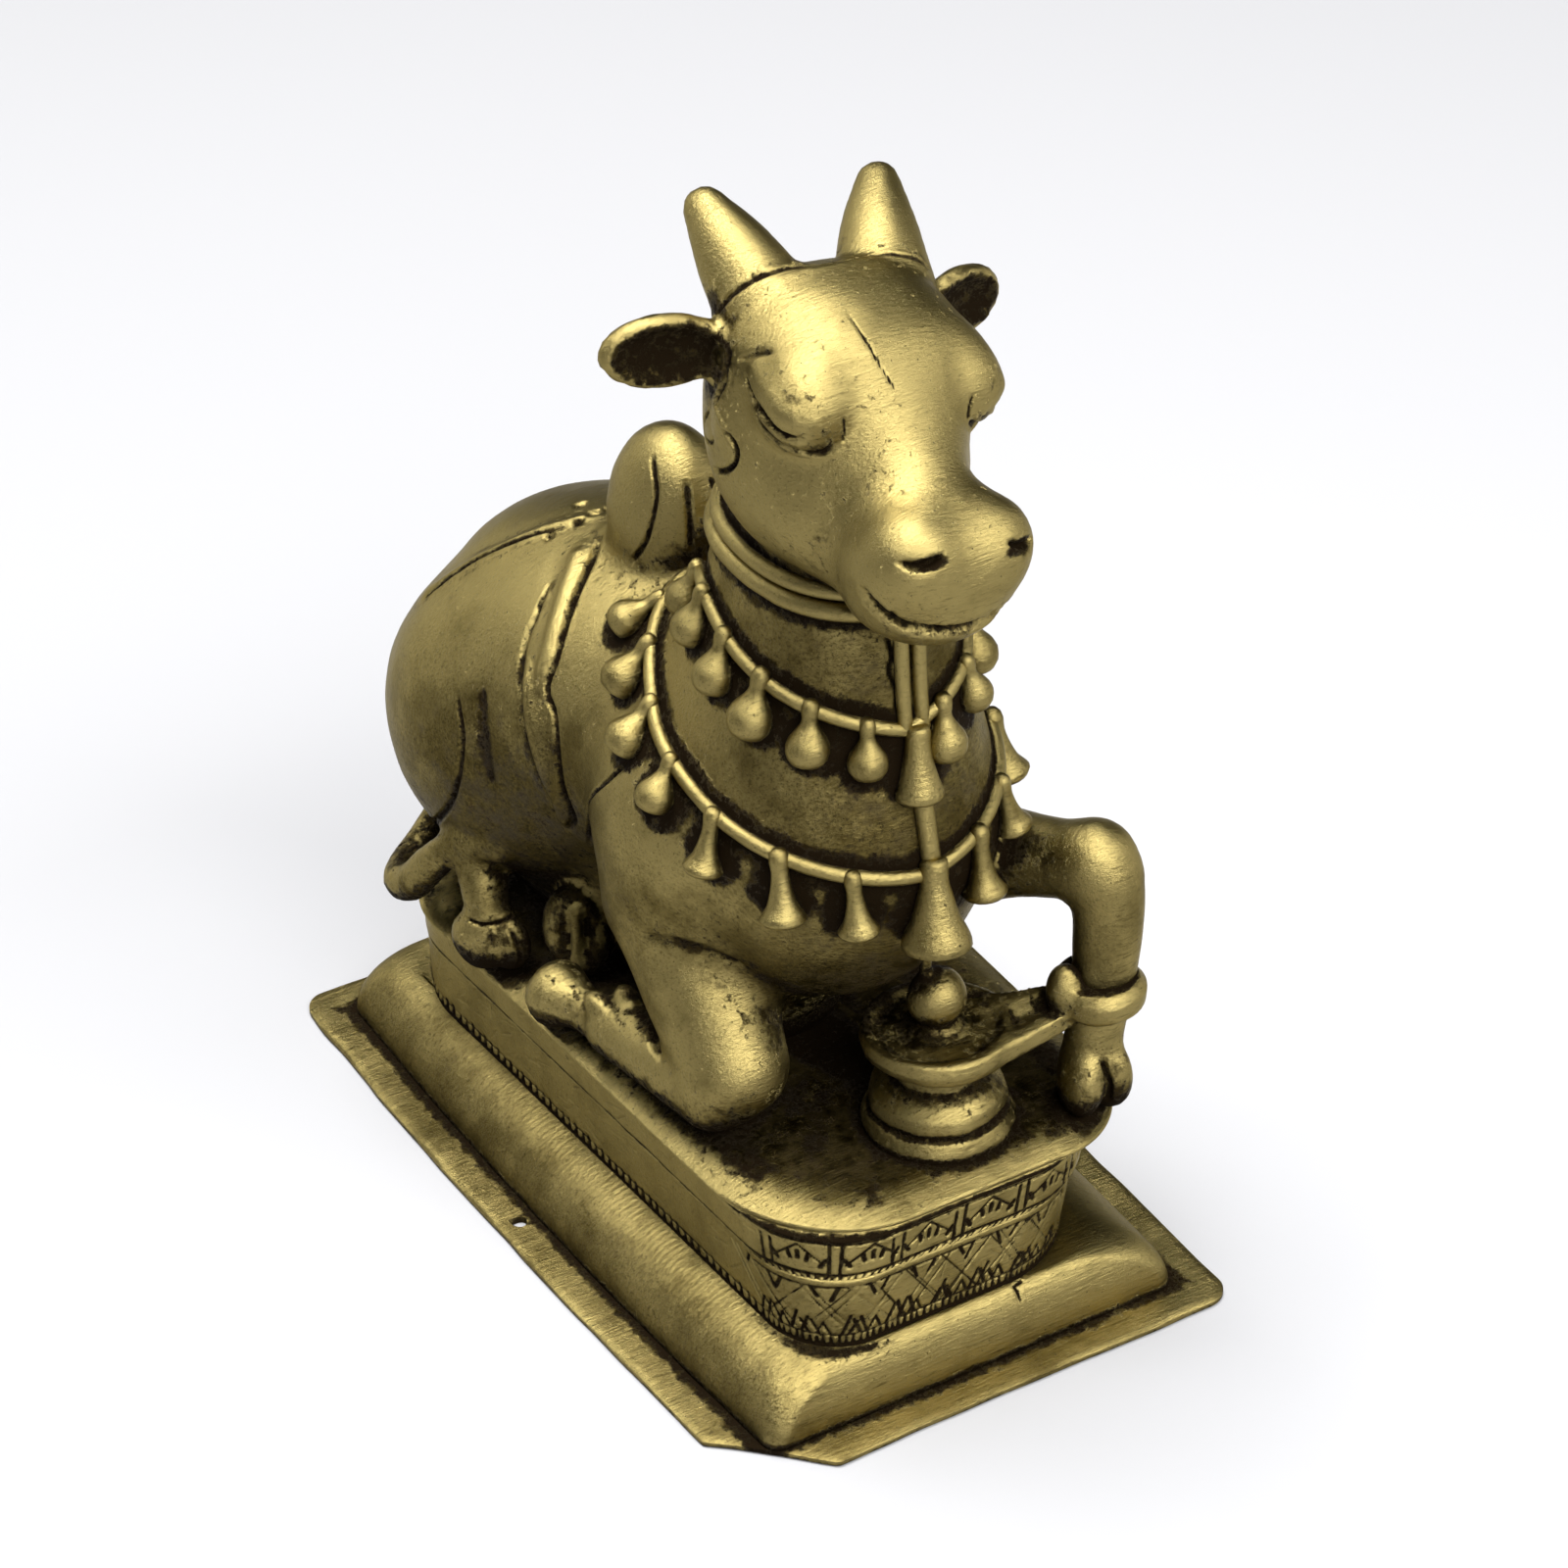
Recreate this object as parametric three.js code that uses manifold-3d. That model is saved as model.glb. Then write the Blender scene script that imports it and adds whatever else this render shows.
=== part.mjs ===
// Nandi, the bull of Shiva: a cast brass temple figure that kneels on a moulded plinth, with a small
// lingam between its forelegs. The bull, the lingam and the plinth are one casting, so they are one solid.
// Millimetres, +Z up. The bull faces -Y, and its right flank is on the -X side.
// The origin is the middle of the underside.
import * as THREE from "three";
import Module from "manifold-3d";
import { edgeTable, triTable } from "three/addons/objects/MarchingCubes.js";
import { mergeVertices } from "three/addons/utils/BufferGeometryUtils.js";

// Driving sizes of the plinth
const FLANGE_LENGTH = 125;
const FLANGE_WIDTH = 73;
const FLANGE_THICKNESS = 1.2;
const FLANGE_CORNER_RADIUS = 3.5;
const FLANGE_BOW = 1.5; // how far the hand-filed long edges swell in the middle
const CUT_CORNER = 12; // the front corner on the bull's right is trimmed off
const NAIL_HOLE_RADIUS = 1.1;
const NAIL_HOLE_FROM_EDGE = 3.2;
const LEDGE_SIDE = 5.6; // the flat margin of the flange outside the moulding
const LEDGE_END = 5.6;
const MOULDING_HEIGHT = 8.8;
const MOULDING_RUN_SIDE = 6.4; // how far the moulding runs in to the foot of the wall
const MOULDING_RUN_END = 3.2;
const WALL_HEIGHT = 15.4;
const WALL_TAPER = 3; // how far the wall draws in at the front
const FRIEZE_HEIGHT = 5; // the upper band of the wall, which stands out from the lower one
const FRIEZE_STEP = 0.7;
const PLATE_OVERHANG_SIDE = 4.5; // the wall leans out to the plate
const PLATE_OVERHANG_FRONT = -1;
const PLATE_SHIFT = 2.6; // the plate sits this much towards the bull's left
const LIP_HEIGHT = 2.6;

const PLATE_TOP = FLANGE_THICKNESS + MOULDING_HEIGHT + WALL_HEIGHT + LIP_HEIGHT;

// Driving size of the bull: its forms are shares of its height above the plate, on a grid of 125 units
const FIGURE_HEIGHT = 125;
const GRID_UNITS = 125;
const UNIT = FIGURE_HEIGHT / GRID_UNITS;
const SUNK = 0.8; // how deep the figure runs into the plate

// Fineness of the facets
const CELL = 1.3;
const BULL_TRIANGLES = 9000; // of the bare bull
const FIGURE_TRIANGLES = 7500; // of the bull with its garlands, ring and lingam
const FINE_WEIGHT = 5; // the head and the lingam keep smaller facets than the body
const DROP_SIDES = 6;
const CORD_SIDES = 5;

const wasm = await Module();
wasm.setup();

// Fields: a form is a function that gives the distance to its surface, negative inside, with a
// sphere that holds it, so that far forms are skipped.
const at = (x, y, z) => new THREE.Vector3(x, y, z);

function form(distance, centre, reach) {
  return { distance, centre, reach };
}

function ellipsoid(centre, radii, turn = [0, 0, 0]) {
  const inverse = new THREE.Matrix4()
    .makeRotationFromEuler(new THREE.Euler(...turn.map(THREE.MathUtils.degToRad), "ZXY"))
    .invert().elements;
  const [rx, ry, rz] = radii;
  const distance = (x, y, z) => {
    const dx = x - centre.x;
    const dy = y - centre.y;
    const dz = z - centre.z;
    const px = (inverse[0] * dx + inverse[4] * dy + inverse[8] * dz) / rx;
    const py = (inverse[1] * dx + inverse[5] * dy + inverse[9] * dz) / ry;
    const pz = (inverse[2] * dx + inverse[6] * dy + inverse[10] * dz) / rz;
    const near = Math.hypot(px, py, pz);
    const slope = Math.hypot(px / rx, py / ry, pz / rz);
    return slope < 1e-9 ? -Math.min(rx, ry, rz) : (near * (near - 1)) / slope;
  };
  return form(distance, centre, Math.max(rx, ry, rz));
}

// A straight limb between two points, round in section, with its own radius at each end
function limb(a, b, radiusA, radiusB) {
  const axis = b.clone().sub(a);
  const length2 = axis.lengthSq();
  const distance = (x, y, z) => {
    const dx = x - a.x;
    const dy = y - a.y;
    const dz = z - a.z;
    const share = Math.min(1, Math.max(0, (dx * axis.x + dy * axis.y + dz * axis.z) / length2));
    const gap = Math.hypot(dx - share * axis.x, dy - share * axis.y, dz - share * axis.z);
    return gap - (radiusA + share * (radiusB - radiusA));
  };
  const middle = a.clone().add(b).multiplyScalar(0.5);
  return form(distance, middle, Math.sqrt(length2) / 2 + Math.max(radiusA, radiusB));
}

function hull(forms) {
  const box = new THREE.Box3();
  for (const part of forms) {
    const half = at(part.reach, part.reach, part.reach);
    box.expandByPoint(part.centre.clone().sub(half));
    box.expandByPoint(part.centre.clone().add(half));
  }
  const centre = box.getCenter(new THREE.Vector3());
  const reach = Math.max(...forms.map((part) => part.centre.distanceTo(centre) + part.reach));
  return [centre, reach];
}

// Forms that melt into each other over a width
function blend(width, ...forms) {
  const distance = (x, y, z) => {
    let nearest = 1e9;
    for (const part of forms) {
      const c = part.centre;
      const outside = Math.hypot(x - c.x, y - c.y, z - c.z) - part.reach;
      if (outside > nearest + width) continue;
      const d = part.distance(x, y, z);
      const overlap = Math.max(width - Math.abs(nearest - d), 0) / width;
      nearest = Math.min(nearest, d) - (overlap * overlap * width) / 4;
    }
    return nearest;
  };
  return form(distance, ...hull(forms));
}

// A form with others hollowed out of it
function hollow(width, body, ...cuts) {
  const distance = (x, y, z) => {
    let d = body.distance(x, y, z);
    for (const cut of cuts) {
      const c = -cut.distance(x, y, z);
      const overlap = Math.max(width - Math.abs(d - c), 0) / width;
      d = Math.max(d, c) + (overlap * overlap * width) / 4;
    }
    return d;
  };
  return form(distance, body.centre, body.reach);
}

// A limb through several points, each given as [point, radius]
function chain(width, ...stops) {
  const parts = [];
  for (let i = 1; i < stops.length; i += 1) {
    parts.push(limb(stops[i - 1][0], stops[i][0], stops[i - 1][1], stops[i][1]));
  }
  return blend(width, ...parts);
}

function turnedTo(origin, turn) {
  const euler = new THREE.Euler(...turn.map(THREE.MathUtils.degToRad), "ZXY");
  return new THREE.Matrix4().makeRotationFromEuler(euler).setPosition(origin);
}

// A form turned about its own origin and then moved
function placed(part, origin, turn) {
  const place = turnedTo(origin, turn);
  const m = place.clone().invert().elements;
  const distance = (x, y, z) =>
    part.distance(
      m[0] * x + m[4] * y + m[8] * z + m[12],
      m[1] * x + m[5] * y + m[9] * z + m[13],
      m[2] * x + m[6] * y + m[10] * z + m[14],
    );
  return form(distance, part.centre.clone().applyMatrix4(place), part.reach);
}

// The bull, in grid units above the plate
const CHIN_LEVEL = 78;
const HEAD_AT = at(-0.5, -24, 103);
const HEAD_TURN = [0, 9, 1]; // nod, tilt and turn, in degrees

function horn(side) {
  return chain(
    2,
    [at(side * 8 + 0.6, 1, 8), 6.3],
    [at(side * 10 + 1.2, 7.5, 13.2), 5],
    [at(side * 12.4 + 1.9, 13.5, 18.3), 2.8],
  );
}

function ear(side) {
  const turn = side < 0 ? [0, -3, -14] : [0, 4, 20];
  const leaf = ellipsoid(at(side * 21.1 + 0.3, 4, 5.6), [8, 2.6, 4.7], turn);
  const bowl = ellipsoid(at(side * 21.6 + 0.3, 1.8, 5.6), [6.2, 2.6, 3.3], turn);
  const root = limb(at(side * 11, 2, 5.5), at(side * 17, 3, 5.5), 4, 2.6);
  return blend(1.5, root, hollow(0.6, leaf, bowl));
}

function eye(side) {
  return ellipsoid(at(side * 10.2, -9.6, 4.4), [4.8, 6.4, 5.4], [18, side * -20, side * 18]);
}

function head() {
  const skull = blend(
    7,
    ellipsoid(at(0, 0, 0), [14.8, 13, 13.4]),
    ellipsoid(at(0, -5, 6), [11.5, 10, 8.5]),
    limb(at(0, -8, 1), at(0, -24, -8), 9.6, 7.6),
    ellipsoid(at(-6.5, -6, -9), [7.5, 12, 8.5]),
    ellipsoid(at(6.5, -6, -9), [7.5, 12, 8.5]),
    limb(at(0, -6, -12), at(0, -20, -16), 8, 6),
  );
  const muzzle = blend(
    4,
    ellipsoid(at(0, -25.5, -11.5), [11, 9, 8.6]),
    ellipsoid(at(0, -23.5, -16.5), [7.6, 7.2, 4.6]),
    ellipsoid(at(-5.2, -29.6, -8.6), [4.4, 4, 4.4]),
    ellipsoid(at(5.2, -29.6, -8.6), [4.4, 4, 4.4]),
  );
  const face = blend(5, skull, muzzle);
  const eyes = blend(2.5, face, eye(-1), eye(1));
  return blend(1.2, eyes, horn(-1), horn(1), ear(-1), ear(1));
}

function trunk() {
  return blend(
    12,
    ellipsoid(at(-0.9, 31, 31.8), [25.8, 26.6, 26.2]),
    ellipsoid(at(0, 9, 39.5), [22, 26, 21]),
    ellipsoid(at(0, -18, 38), [20, 24, 24]),
    limb(at(0, -4, 6), at(0, 34, 6), 12, 14),
    limb(at(1, -12, 44), at(2, -17, 84), 15.5, 10.5),
    limb(at(1, -24, 44), at(1, -29, 80), 17.5, 11),
  );
}

function hump() {
  return blend(
    3,
    ellipsoid(at(0.6, 14.5, 64.5), [6.8, 8.2, 13.5], [6, 0, 0]),
    ellipsoid(at(0, 13, 56), [9, 11, 8]),
  );
}

function haunch(side) {
  return ellipsoid(at(side * 15, 35, 27), [14.5, 21, 19], [10, 0, 0]);
}

// The hind foot on the bull's right stands beside the haunch, and the other one comes out under the belly
function hindLegs() {
  const rightLeg = chain(
    2,
    [at(-22, 33, 17), 5.5],
    [at(-24.6, 27, 15), 4.2],
    [at(-25.2, 23.5, 9), 3.5],
    [at(-25.6, 21.5, 3.4), 3.9],
  );
  const leftSole = ellipsoid(at(-17, 14, 5.5), [3.4, 5, 6.2], [0, -15, 20]);
  const leftShank = limb(at(-6, 18, 8), at(-16, 15, 6), 6, 4.5);
  const farLeg = chain(2, [at(24, 34, 14), 6], [at(25, 22, 8), 4.6], [at(24, 10, 5), 4.4]);
  return blend(2, rightLeg, blend(1.5, leftSole, leftShank), farLeg);
}

function tail() {
  return chain(
    2,
    [at(0, 52, 36), 4],
    [at(-3, 53, 22), 3.4],
    [at(-13, 50, 11), 3.2],
    [at(-22, 46, 5), 3.2],
    [at(-28, 42.5, 3), 3.2],
    [at(-29, 38, 5), 2.8],
    [at(-28, 33, 11), 2.8],
    [at(-26, 28, 16), 2.8],
    [at(-24, 22, 17), 2.4],
  );
}

function rightForeleg() {
  return blend(
    4,
    ellipsoid(at(-15, -12, 36), [11, 13, 17]),
    limb(at(-16, -11, 26), at(-18, -25, 10.5), 10, 7),
    limb(at(-18, -26, 8.5), at(-23, -3, 4.6), 6.6, 3.8),
    ellipsoid(at(-24.6, 2.6, 4.2), [3.2, 5, 4]),
  );
}

function leftForeleg() {
  const arm = chain(
    4,
    [at(12, -10, 34), 12],
    [at(16, -20, 28), 8],
    [at(22.5, -35, 32.5), 5],
    [at(26.6, -44.4, 34.5), 4.6],
  );
  const shin = chain(
    1.5,
    [at(27, -45, 34), 4.7],
    [at(26.6, -45.6, 19), 4.2],
    [at(25, -46, 10), 3.5],
    [at(23.2, -46.4, 4), 4.5],
  );
  return blend(2.5, arm, shin);
}

function bull() {
  const body = blend(5, trunk(), haunch(-1), haunch(1), rightForeleg());
  const withHump = blend(2.5, body, hump());
  const limbs = blend(1.6, withHump, hindLegs(), tail(), leftForeleg());
  return blend(2.5, limbs, placed(head(), HEAD_AT, HEAD_TURN));
}

// Turns a field into a closed mesh by marching cubes. Blocks that the surface can't reach are skipped.
const CUBE_EDGES = [
  [0, 1], [1, 3], [2, 3], [0, 2],
  [4, 5], [5, 7], [6, 7], [4, 6],
  [0, 4], [1, 5], [3, 7], [2, 6],
];
const CUBE_BITS = [1, 2, 8, 4, 16, 32, 128, 64];
const BLOCK = 6;

function cubeCorner(n) {
  return [n & 1, (n >> 1) & 1, (n >> 2) & 1];
}

function sampled(field, low, counts, cell) {
  const [nx, ny, nz] = counts;
  const values = new Float32Array(nx * ny * nz);
  const reach = BLOCK * cell * 1.6;
  for (let k0 = 0; k0 < nz; k0 += BLOCK) {
    for (let j0 = 0; j0 < ny; j0 += BLOCK) {
      for (let i0 = 0; i0 < nx; i0 += BLOCK) {
        const [mi, mj, mk] = [i0, j0, k0].map((n) => (n + BLOCK / 2) * cell);
        const middle = field.distance(low.x + mi, low.y + mj, low.z + mk);
        const far = Math.abs(middle) > reach;
        for (let k = k0; k < Math.min(k0 + BLOCK, nz); k += 1) {
          for (let j = j0; j < Math.min(j0 + BLOCK, ny); j += 1) {
            for (let i = i0; i < Math.min(i0 + BLOCK, nx); i += 1) {
              const here = [low.x + i * cell, low.y + j * cell, low.z + k * cell];
              values[i + nx * (j + ny * k)] = far ? middle : field.distance(...here);
            }
          }
        }
      }
    }
  }
  return values;
}

function surfaceOf(field, box, cell) {
  const low = box.min;
  const size = box.getSize(new THREE.Vector3());
  const counts = [size.x, size.y, size.z].map((length) => Math.ceil(length / cell) + 1);
  const [nx, ny] = counts;
  const values = sampled(field, low, counts, cell);
  const points = [];
  const faces = [];
  const pointOn = new Map();
  const crossing = (i, j, k, edge, index, value) => {
    const [p, q] = edge;
    const key = Math.min(index[p], index[q]) * 3 + [1, 2, 4].indexOf(Math.abs(p - q));
    if (!pointOn.has(key)) {
      const share = value[p] / (value[p] - value[q]);
      const [from, to] = [cubeCorner(p), cubeCorner(q)];
      const [x, y, z] = [i, j, k].map((n, m) => (n + from[m] + share * (to[m] - from[m])) * cell);
      pointOn.set(key, points.length);
      points.push(at(low.x + x, low.y + y, low.z + z));
    }
    return pointOn.get(key);
  };
  for (let k = 0; k < counts[2] - 1; k += 1) {
    for (let j = 0; j < ny - 1; j += 1) {
      for (let i = 0; i < nx - 1; i += 1) {
        const index = [];
        const value = [];
        let kind = 0;
        for (let n = 0; n < 8; n += 1) {
          const [a, b, c] = cubeCorner(n);
          index.push(i + a + nx * (j + b + ny * (k + c)));
          value.push(values[index[n]]);
          if (value[n] < 0) kind |= CUBE_BITS[n];
        }
        if (edgeTable[kind] === 0) continue;
        for (let t = kind * 16; triTable[t] !== -1; t += 3) {
          const [a, b, c] = [0, 1, 2].map((m) =>
            crossing(i, j, k, CUBE_EDGES[triTable[t + m]], index, value),
          );
          faces.push([a, c, b]);
        }
      }
    }
  }
  return { points, faces };
}

// Puts every point exactly on the field's surface
function settled(points, field) {
  const step = 0.05;
  for (const p of points) {
    for (let pass = 0; pass < 2; pass += 1) {
      const d = field.distance(p.x, p.y, p.z);
      const slope = at(
        field.distance(p.x + step, p.y, p.z) - d,
        field.distance(p.x, p.y + step, p.z) - d,
        field.distance(p.x, p.y, p.z + step) - d,
      ).divideScalar(step);
      const steepness = Math.max(slope.lengthSq(), 0.25);
      p.addScaledVector(slope, -d / steepness);
    }
  }
}

// The squared distance to a set of planes, kept as the ten numbers of a symmetric 4 x 4 matrix
function planeQuadric(a, b, c) {
  const normal = b.clone().sub(a).cross(c.clone().sub(a));
  const area = normal.length() / 2;
  normal.normalize();
  const [x, y, z, w] = [normal.x, normal.y, normal.z, -normal.dot(a)];
  return [x * x, x * y, x * z, x * w, y * y, y * z, y * w, z * z, z * w, w * w].map((n) => n * area);
}

function quadricAt(q, p) {
  return (
    q[0] * p.x * p.x + q[4] * p.y * p.y + q[7] * p.z * p.z + q[9] +
    2 * (q[1] * p.x * p.y + q[2] * p.x * p.z + q[5] * p.y * p.z) +
    2 * (q[3] * p.x + q[6] * p.y + q[8] * p.z)
  );
}

function bestPoint(q, a, b) {
  const middle = a.clone().add(b).multiplyScalar(0.5);
  const choices = [middle, a, b];
  const matrix = new THREE.Matrix3().set(q[0], q[1], q[2], q[1], q[4], q[5], q[2], q[5], q[7]);
  const scale = q[0] + q[4] + q[7];
  if (Math.abs(matrix.determinant()) > 1e-3 * scale ** 3) {
    const lowest = at(-q[3], -q[6], -q[8]).applyMatrix3(matrix.invert());
    if (lowest.distanceTo(middle) < a.distanceTo(b)) choices.unshift(lowest);
  }
  let best = null;
  for (const point of choices) {
    const cost = quadricAt(q, point);
    if (best === null || cost < best.cost - 1e-12) best = { point, cost };
  }
  best.cost += 1e-4 * a.distanceToSquared(b);
  return best;
}

// A queue that always hands back its cheapest entry
class Queue {
  constructor() {
    this.entries = [];
  }

  push(entry) {
    const list = this.entries;
    let i = list.push(entry) - 1;
    while (i > 0 && list[(i - 1) >> 1].cost > entry.cost) {
      list[i] = list[(i - 1) >> 1];
      i = (i - 1) >> 1;
    }
    list[i] = entry;
  }

  pop() {
    const list = this.entries;
    const top = list[0];
    const last = list.pop();
    let i = 0;
    while (2 * i + 1 < list.length) {
      let child = 2 * i + 1;
      if (child + 1 < list.length && list[child + 1].cost < list[child].cost) child += 1;
      if (list[child].cost >= last.cost) break;
      list[i] = list[child];
      i = child;
    }
    if (list.length > 0) list[i] = last;
    return top;
  }
}

// Merges neighbouring points, the flattest places first, until few enough facets are left
function thinned({ points, faces }, wanted, fine) {
  const facesAt = points.map(() => new Set());
  faces.forEach((face, n) => face.forEach((v) => facesAt[v].add(n)));
  const quadrics = points.map(() => new Array(10).fill(0));
  for (const face of faces) {
    const weight = fine(points[face[0]]) ? FINE_WEIGHT : 1;
    const plane = planeQuadric(...face.map((v) => points[v])).map((n) => n * weight);
    for (const v of face) plane.forEach((n, m) => (quadrics[v][m] += n));
  }
  const age = points.map(() => 0);
  const queue = new Queue();
  const neighbours = (v) => new Set([...facesAt[v]].flatMap((n) => faces[n]).filter((w) => w !== v));
  const offer = (a, b) => {
    const together = quadrics[a].map((n, m) => n + quadrics[b][m]);
    queue.push({ a, b, ages: [age[a], age[b]], ...bestPoint(together, points[a], points[b]) });
  };
  const flips = (v, other, target) => {
    for (const n of facesAt[v]) {
      const face = faces[n];
      if (face.includes(other)) continue;
      const before = new THREE.Triangle(...face.map((w) => points[w]));
      const after = new THREE.Triangle(...face.map((w) => (w === v ? target : points[w])));
      const turned = before.getNormal(at(0, 0, 0)).dot(after.getNormal(at(0, 0, 0)));
      const longest = Math.max(after.a.distanceTo(after.b), after.b.distanceTo(after.c));
      if (turned < 0.3 || after.getArea() < 0.02 * longest * longest) return true;
    }
    return false;
  };
  points.forEach((_, v) => neighbours(v).forEach((w) => v < w && offer(v, w)));
  let left = faces.length;
  while (left > wanted && queue.entries.length > 0) {
    const { a, b, ages, point } = queue.pop();
    if (age[a] !== ages[0] || age[b] !== ages[1]) continue;
    const shared = [...neighbours(a)].filter((v) => neighbours(b).has(v));
    if (shared.length !== 2 || flips(a, b, point) || flips(b, a, point)) continue;
    points[a].copy(point);
    quadrics[b].forEach((n, m) => (quadrics[a][m] += n));
    for (const n of [...facesAt[b]]) {
      if (faces[n].includes(a)) {
        faces[n].forEach((v) => facesAt[v].delete(n));
        faces[n] = null;
        left -= 1;
      } else {
        faces[n] = faces[n].map((v) => (v === b ? a : v));
        facesAt[a].add(n);
      }
    }
    facesAt[b].clear();
    age[b] = -1;
    age[a] += 1;
    neighbours(a).forEach((v) => offer(a, v));
  }
  return { points, faces: faces.filter((face) => face !== null) };
}

// Solids
function solidFrom({ points, faces }) {
  const used = new Map();
  const vertProperties = [];
  const triVerts = [];
  for (const face of faces) {
    for (const v of face) {
      if (!used.has(v)) {
        used.set(v, used.size);
        vertProperties.push(points[v].x, points[v].y, points[v].z);
      }
      triVerts.push(used.get(v));
    }
  }
  return new wasm.Manifold(
    new wasm.Mesh({
      numProp: 3,
      vertProperties: new Float32Array(vertProperties),
      triVerts: new Uint32Array(triVerts),
    }),
  );
}

// A part of the figure, from grid units above the plate to its real place
function figureSolid({ points, faces }) {
  const lifted = points.map((p) => at(p.x * UNIT, p.y * UNIT, p.z * UNIT + PLATE_TOP));
  return solidFrom({ points: lifted, faces });
}

function meshFromGeometry(geometry) {
  const plain = new THREE.BufferGeometry();
  plain.setAttribute("position", geometry.getAttribute("position"));
  plain.setIndex(geometry.getIndex());
  const merged = mergeVertices(plain, 1e-3);
  const position = merged.getAttribute("position");
  const points = [];
  for (let n = 0; n < position.count; n += 1) {
    points.push(new THREE.Vector3().fromBufferAttribute(position, n));
  }
  const faces = [];
  const index = merged.getIndex().array;
  for (let n = 0; n < index.length; n += 3) {
    const face = [index[n], index[n + 1], index[n + 2]];
    if (new Set(face).size === 3) faces.push(face);
  }
  return { points, faces };
}

function joined(solids) {
  return solids.reduce((whole, solid) => whole.add(solid));
}

// Layers of one outline, each a list of points in the same order, closed at both ends
function loft(layers) {
  const count = layers[0].length;
  const points = layers.flat();
  const faces = [];
  for (let n = 0; n + 1 < layers.length; n += 1) {
    for (let m = 0; m < count; m += 1) {
      const [a, b] = [n * count + m, n * count + ((m + 1) % count)];
      faces.push([a, b, b + count], [a, b + count, a + count]);
    }
  }
  for (const top of [false, true]) {
    const start = top ? (layers.length - 1) * count : 0;
    const middle = points.push(centreOf(layers[top ? layers.length - 1 : 0])) - 1;
    for (let m = 0; m < count; m += 1) {
      const [a, b] = [start + m, start + ((m + 1) % count)];
      faces.push(top ? [a, b, middle] : [b, a, middle]);
    }
  }
  return { points, faces };
}

function centreOf(layer) {
  return layer.reduce((sum, p) => sum.add(p), at(0, 0, 0)).divideScalar(layer.length);
}

// A four-sided outline at one height, anticlockwise from above. Its long sides swell by a bow and
// draw in towards the front by a taper.
const CORNER_STEPS = 6;
const SIDE_STEPS = 4;

function outline(height, { halfWidth, halfLength, radii, bow = 0, taper = 0, shift = 0 }) {
  const corners = [
    [-1, -1, radii.frontRight],
    [1, -1, radii.frontLeft],
    [1, 1, radii.rear],
    [-1, 1, radii.rear],
  ];
  const flat = [];
  corners.forEach(([sx, sy, radius], n) => {
    const centre = new THREE.Vector2(sx * (halfWidth - radius), sy * (halfLength - radius));
    const start = Math.PI * (1 + n / 2);
    const arc = [];
    for (let m = 0; m <= CORNER_STEPS; m += 1) {
      const angle = start + ((m / CORNER_STEPS) * Math.PI) / 2;
      arc.push(new THREE.Vector2(Math.cos(angle), Math.sin(angle)).multiplyScalar(radius).add(centre));
    }
    flat.push(arc);
  });
  const points = flat.flatMap((arc, n) => {
    const end = arc[arc.length - 1];
    const next = flat[(n + 1) % flat.length][0];
    const side = [];
    for (let m = 1; m < SIDE_STEPS; m += 1) side.push(end.clone().lerp(next, m / SIDE_STEPS));
    return [...arc, ...side];
  });
  return points.map(({ x, y }) => {
    const across = x / halfWidth;
    const swell = bow * (1 - (y / halfLength) ** 2);
    const drawnIn = (taper * (halfLength - y)) / (2 * halfLength);
    return at(x + across * (swell - drawnIn) + shift, y, height);
  });
}

// The plinth
const MOULDING = {
  halfWidth: FLANGE_WIDTH / 2 - LEDGE_SIDE,
  halfLength: FLANGE_LENGTH / 2 - LEDGE_END,
  height: MOULDING_HEIGHT + 0.2,
};
const WALL = {
  halfWidth: MOULDING.halfWidth - MOULDING_RUN_SIDE + WALL_TAPER / 2,
  halfLength: MOULDING.halfLength - MOULDING_RUN_END,
  foot: FLANGE_THICKNESS + MOULDING_HEIGHT,
};

function flange() {
  const shape = {
    halfWidth: FLANGE_WIDTH / 2,
    halfLength: FLANGE_LENGTH / 2,
    radii: {
      frontRight: FLANGE_CORNER_RADIUS,
      frontLeft: FLANGE_CORNER_RADIUS,
      rear: FLANGE_CORNER_RADIUS,
    },
    bow: FLANGE_BOW,
  };
  const sheet = solidFrom(loft([0, FLANGE_THICKNESS].map((z) => outline(z, shape))));
  return sheet.subtract(solidFrom(cornerCut())).subtract(solidFrom(nailHole()));
}

function cornerCut() {
  const cut = new THREE.Shape();
  cut.moveTo(-1, -1);
  cut.lineTo(CUT_CORNER, -1);
  cut.lineTo(CUT_CORNER, 0);
  cut.lineTo(0, CUT_CORNER);
  cut.lineTo(-1, CUT_CORNER);
  cut.closePath();
  const block = new THREE.ExtrudeGeometry(cut, { depth: FLANGE_THICKNESS + 2, bevelEnabled: false });
  block.translate(-FLANGE_WIDTH / 2, -FLANGE_LENGTH / 2, -1);
  return meshFromGeometry(block);
}

function nailHole() {
  const pin = new THREE.CylinderGeometry(NAIL_HOLE_RADIUS, NAIL_HOLE_RADIUS, FLANGE_THICKNESS + 2, 16);
  pin.rotateX(Math.PI / 2);
  pin.translate(-FLANGE_WIDTH / 2 - FLANGE_BOW + NAIL_HOLE_FROM_EDGE, 1.5, 0);
  return meshFromGeometry(pin);
}

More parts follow.
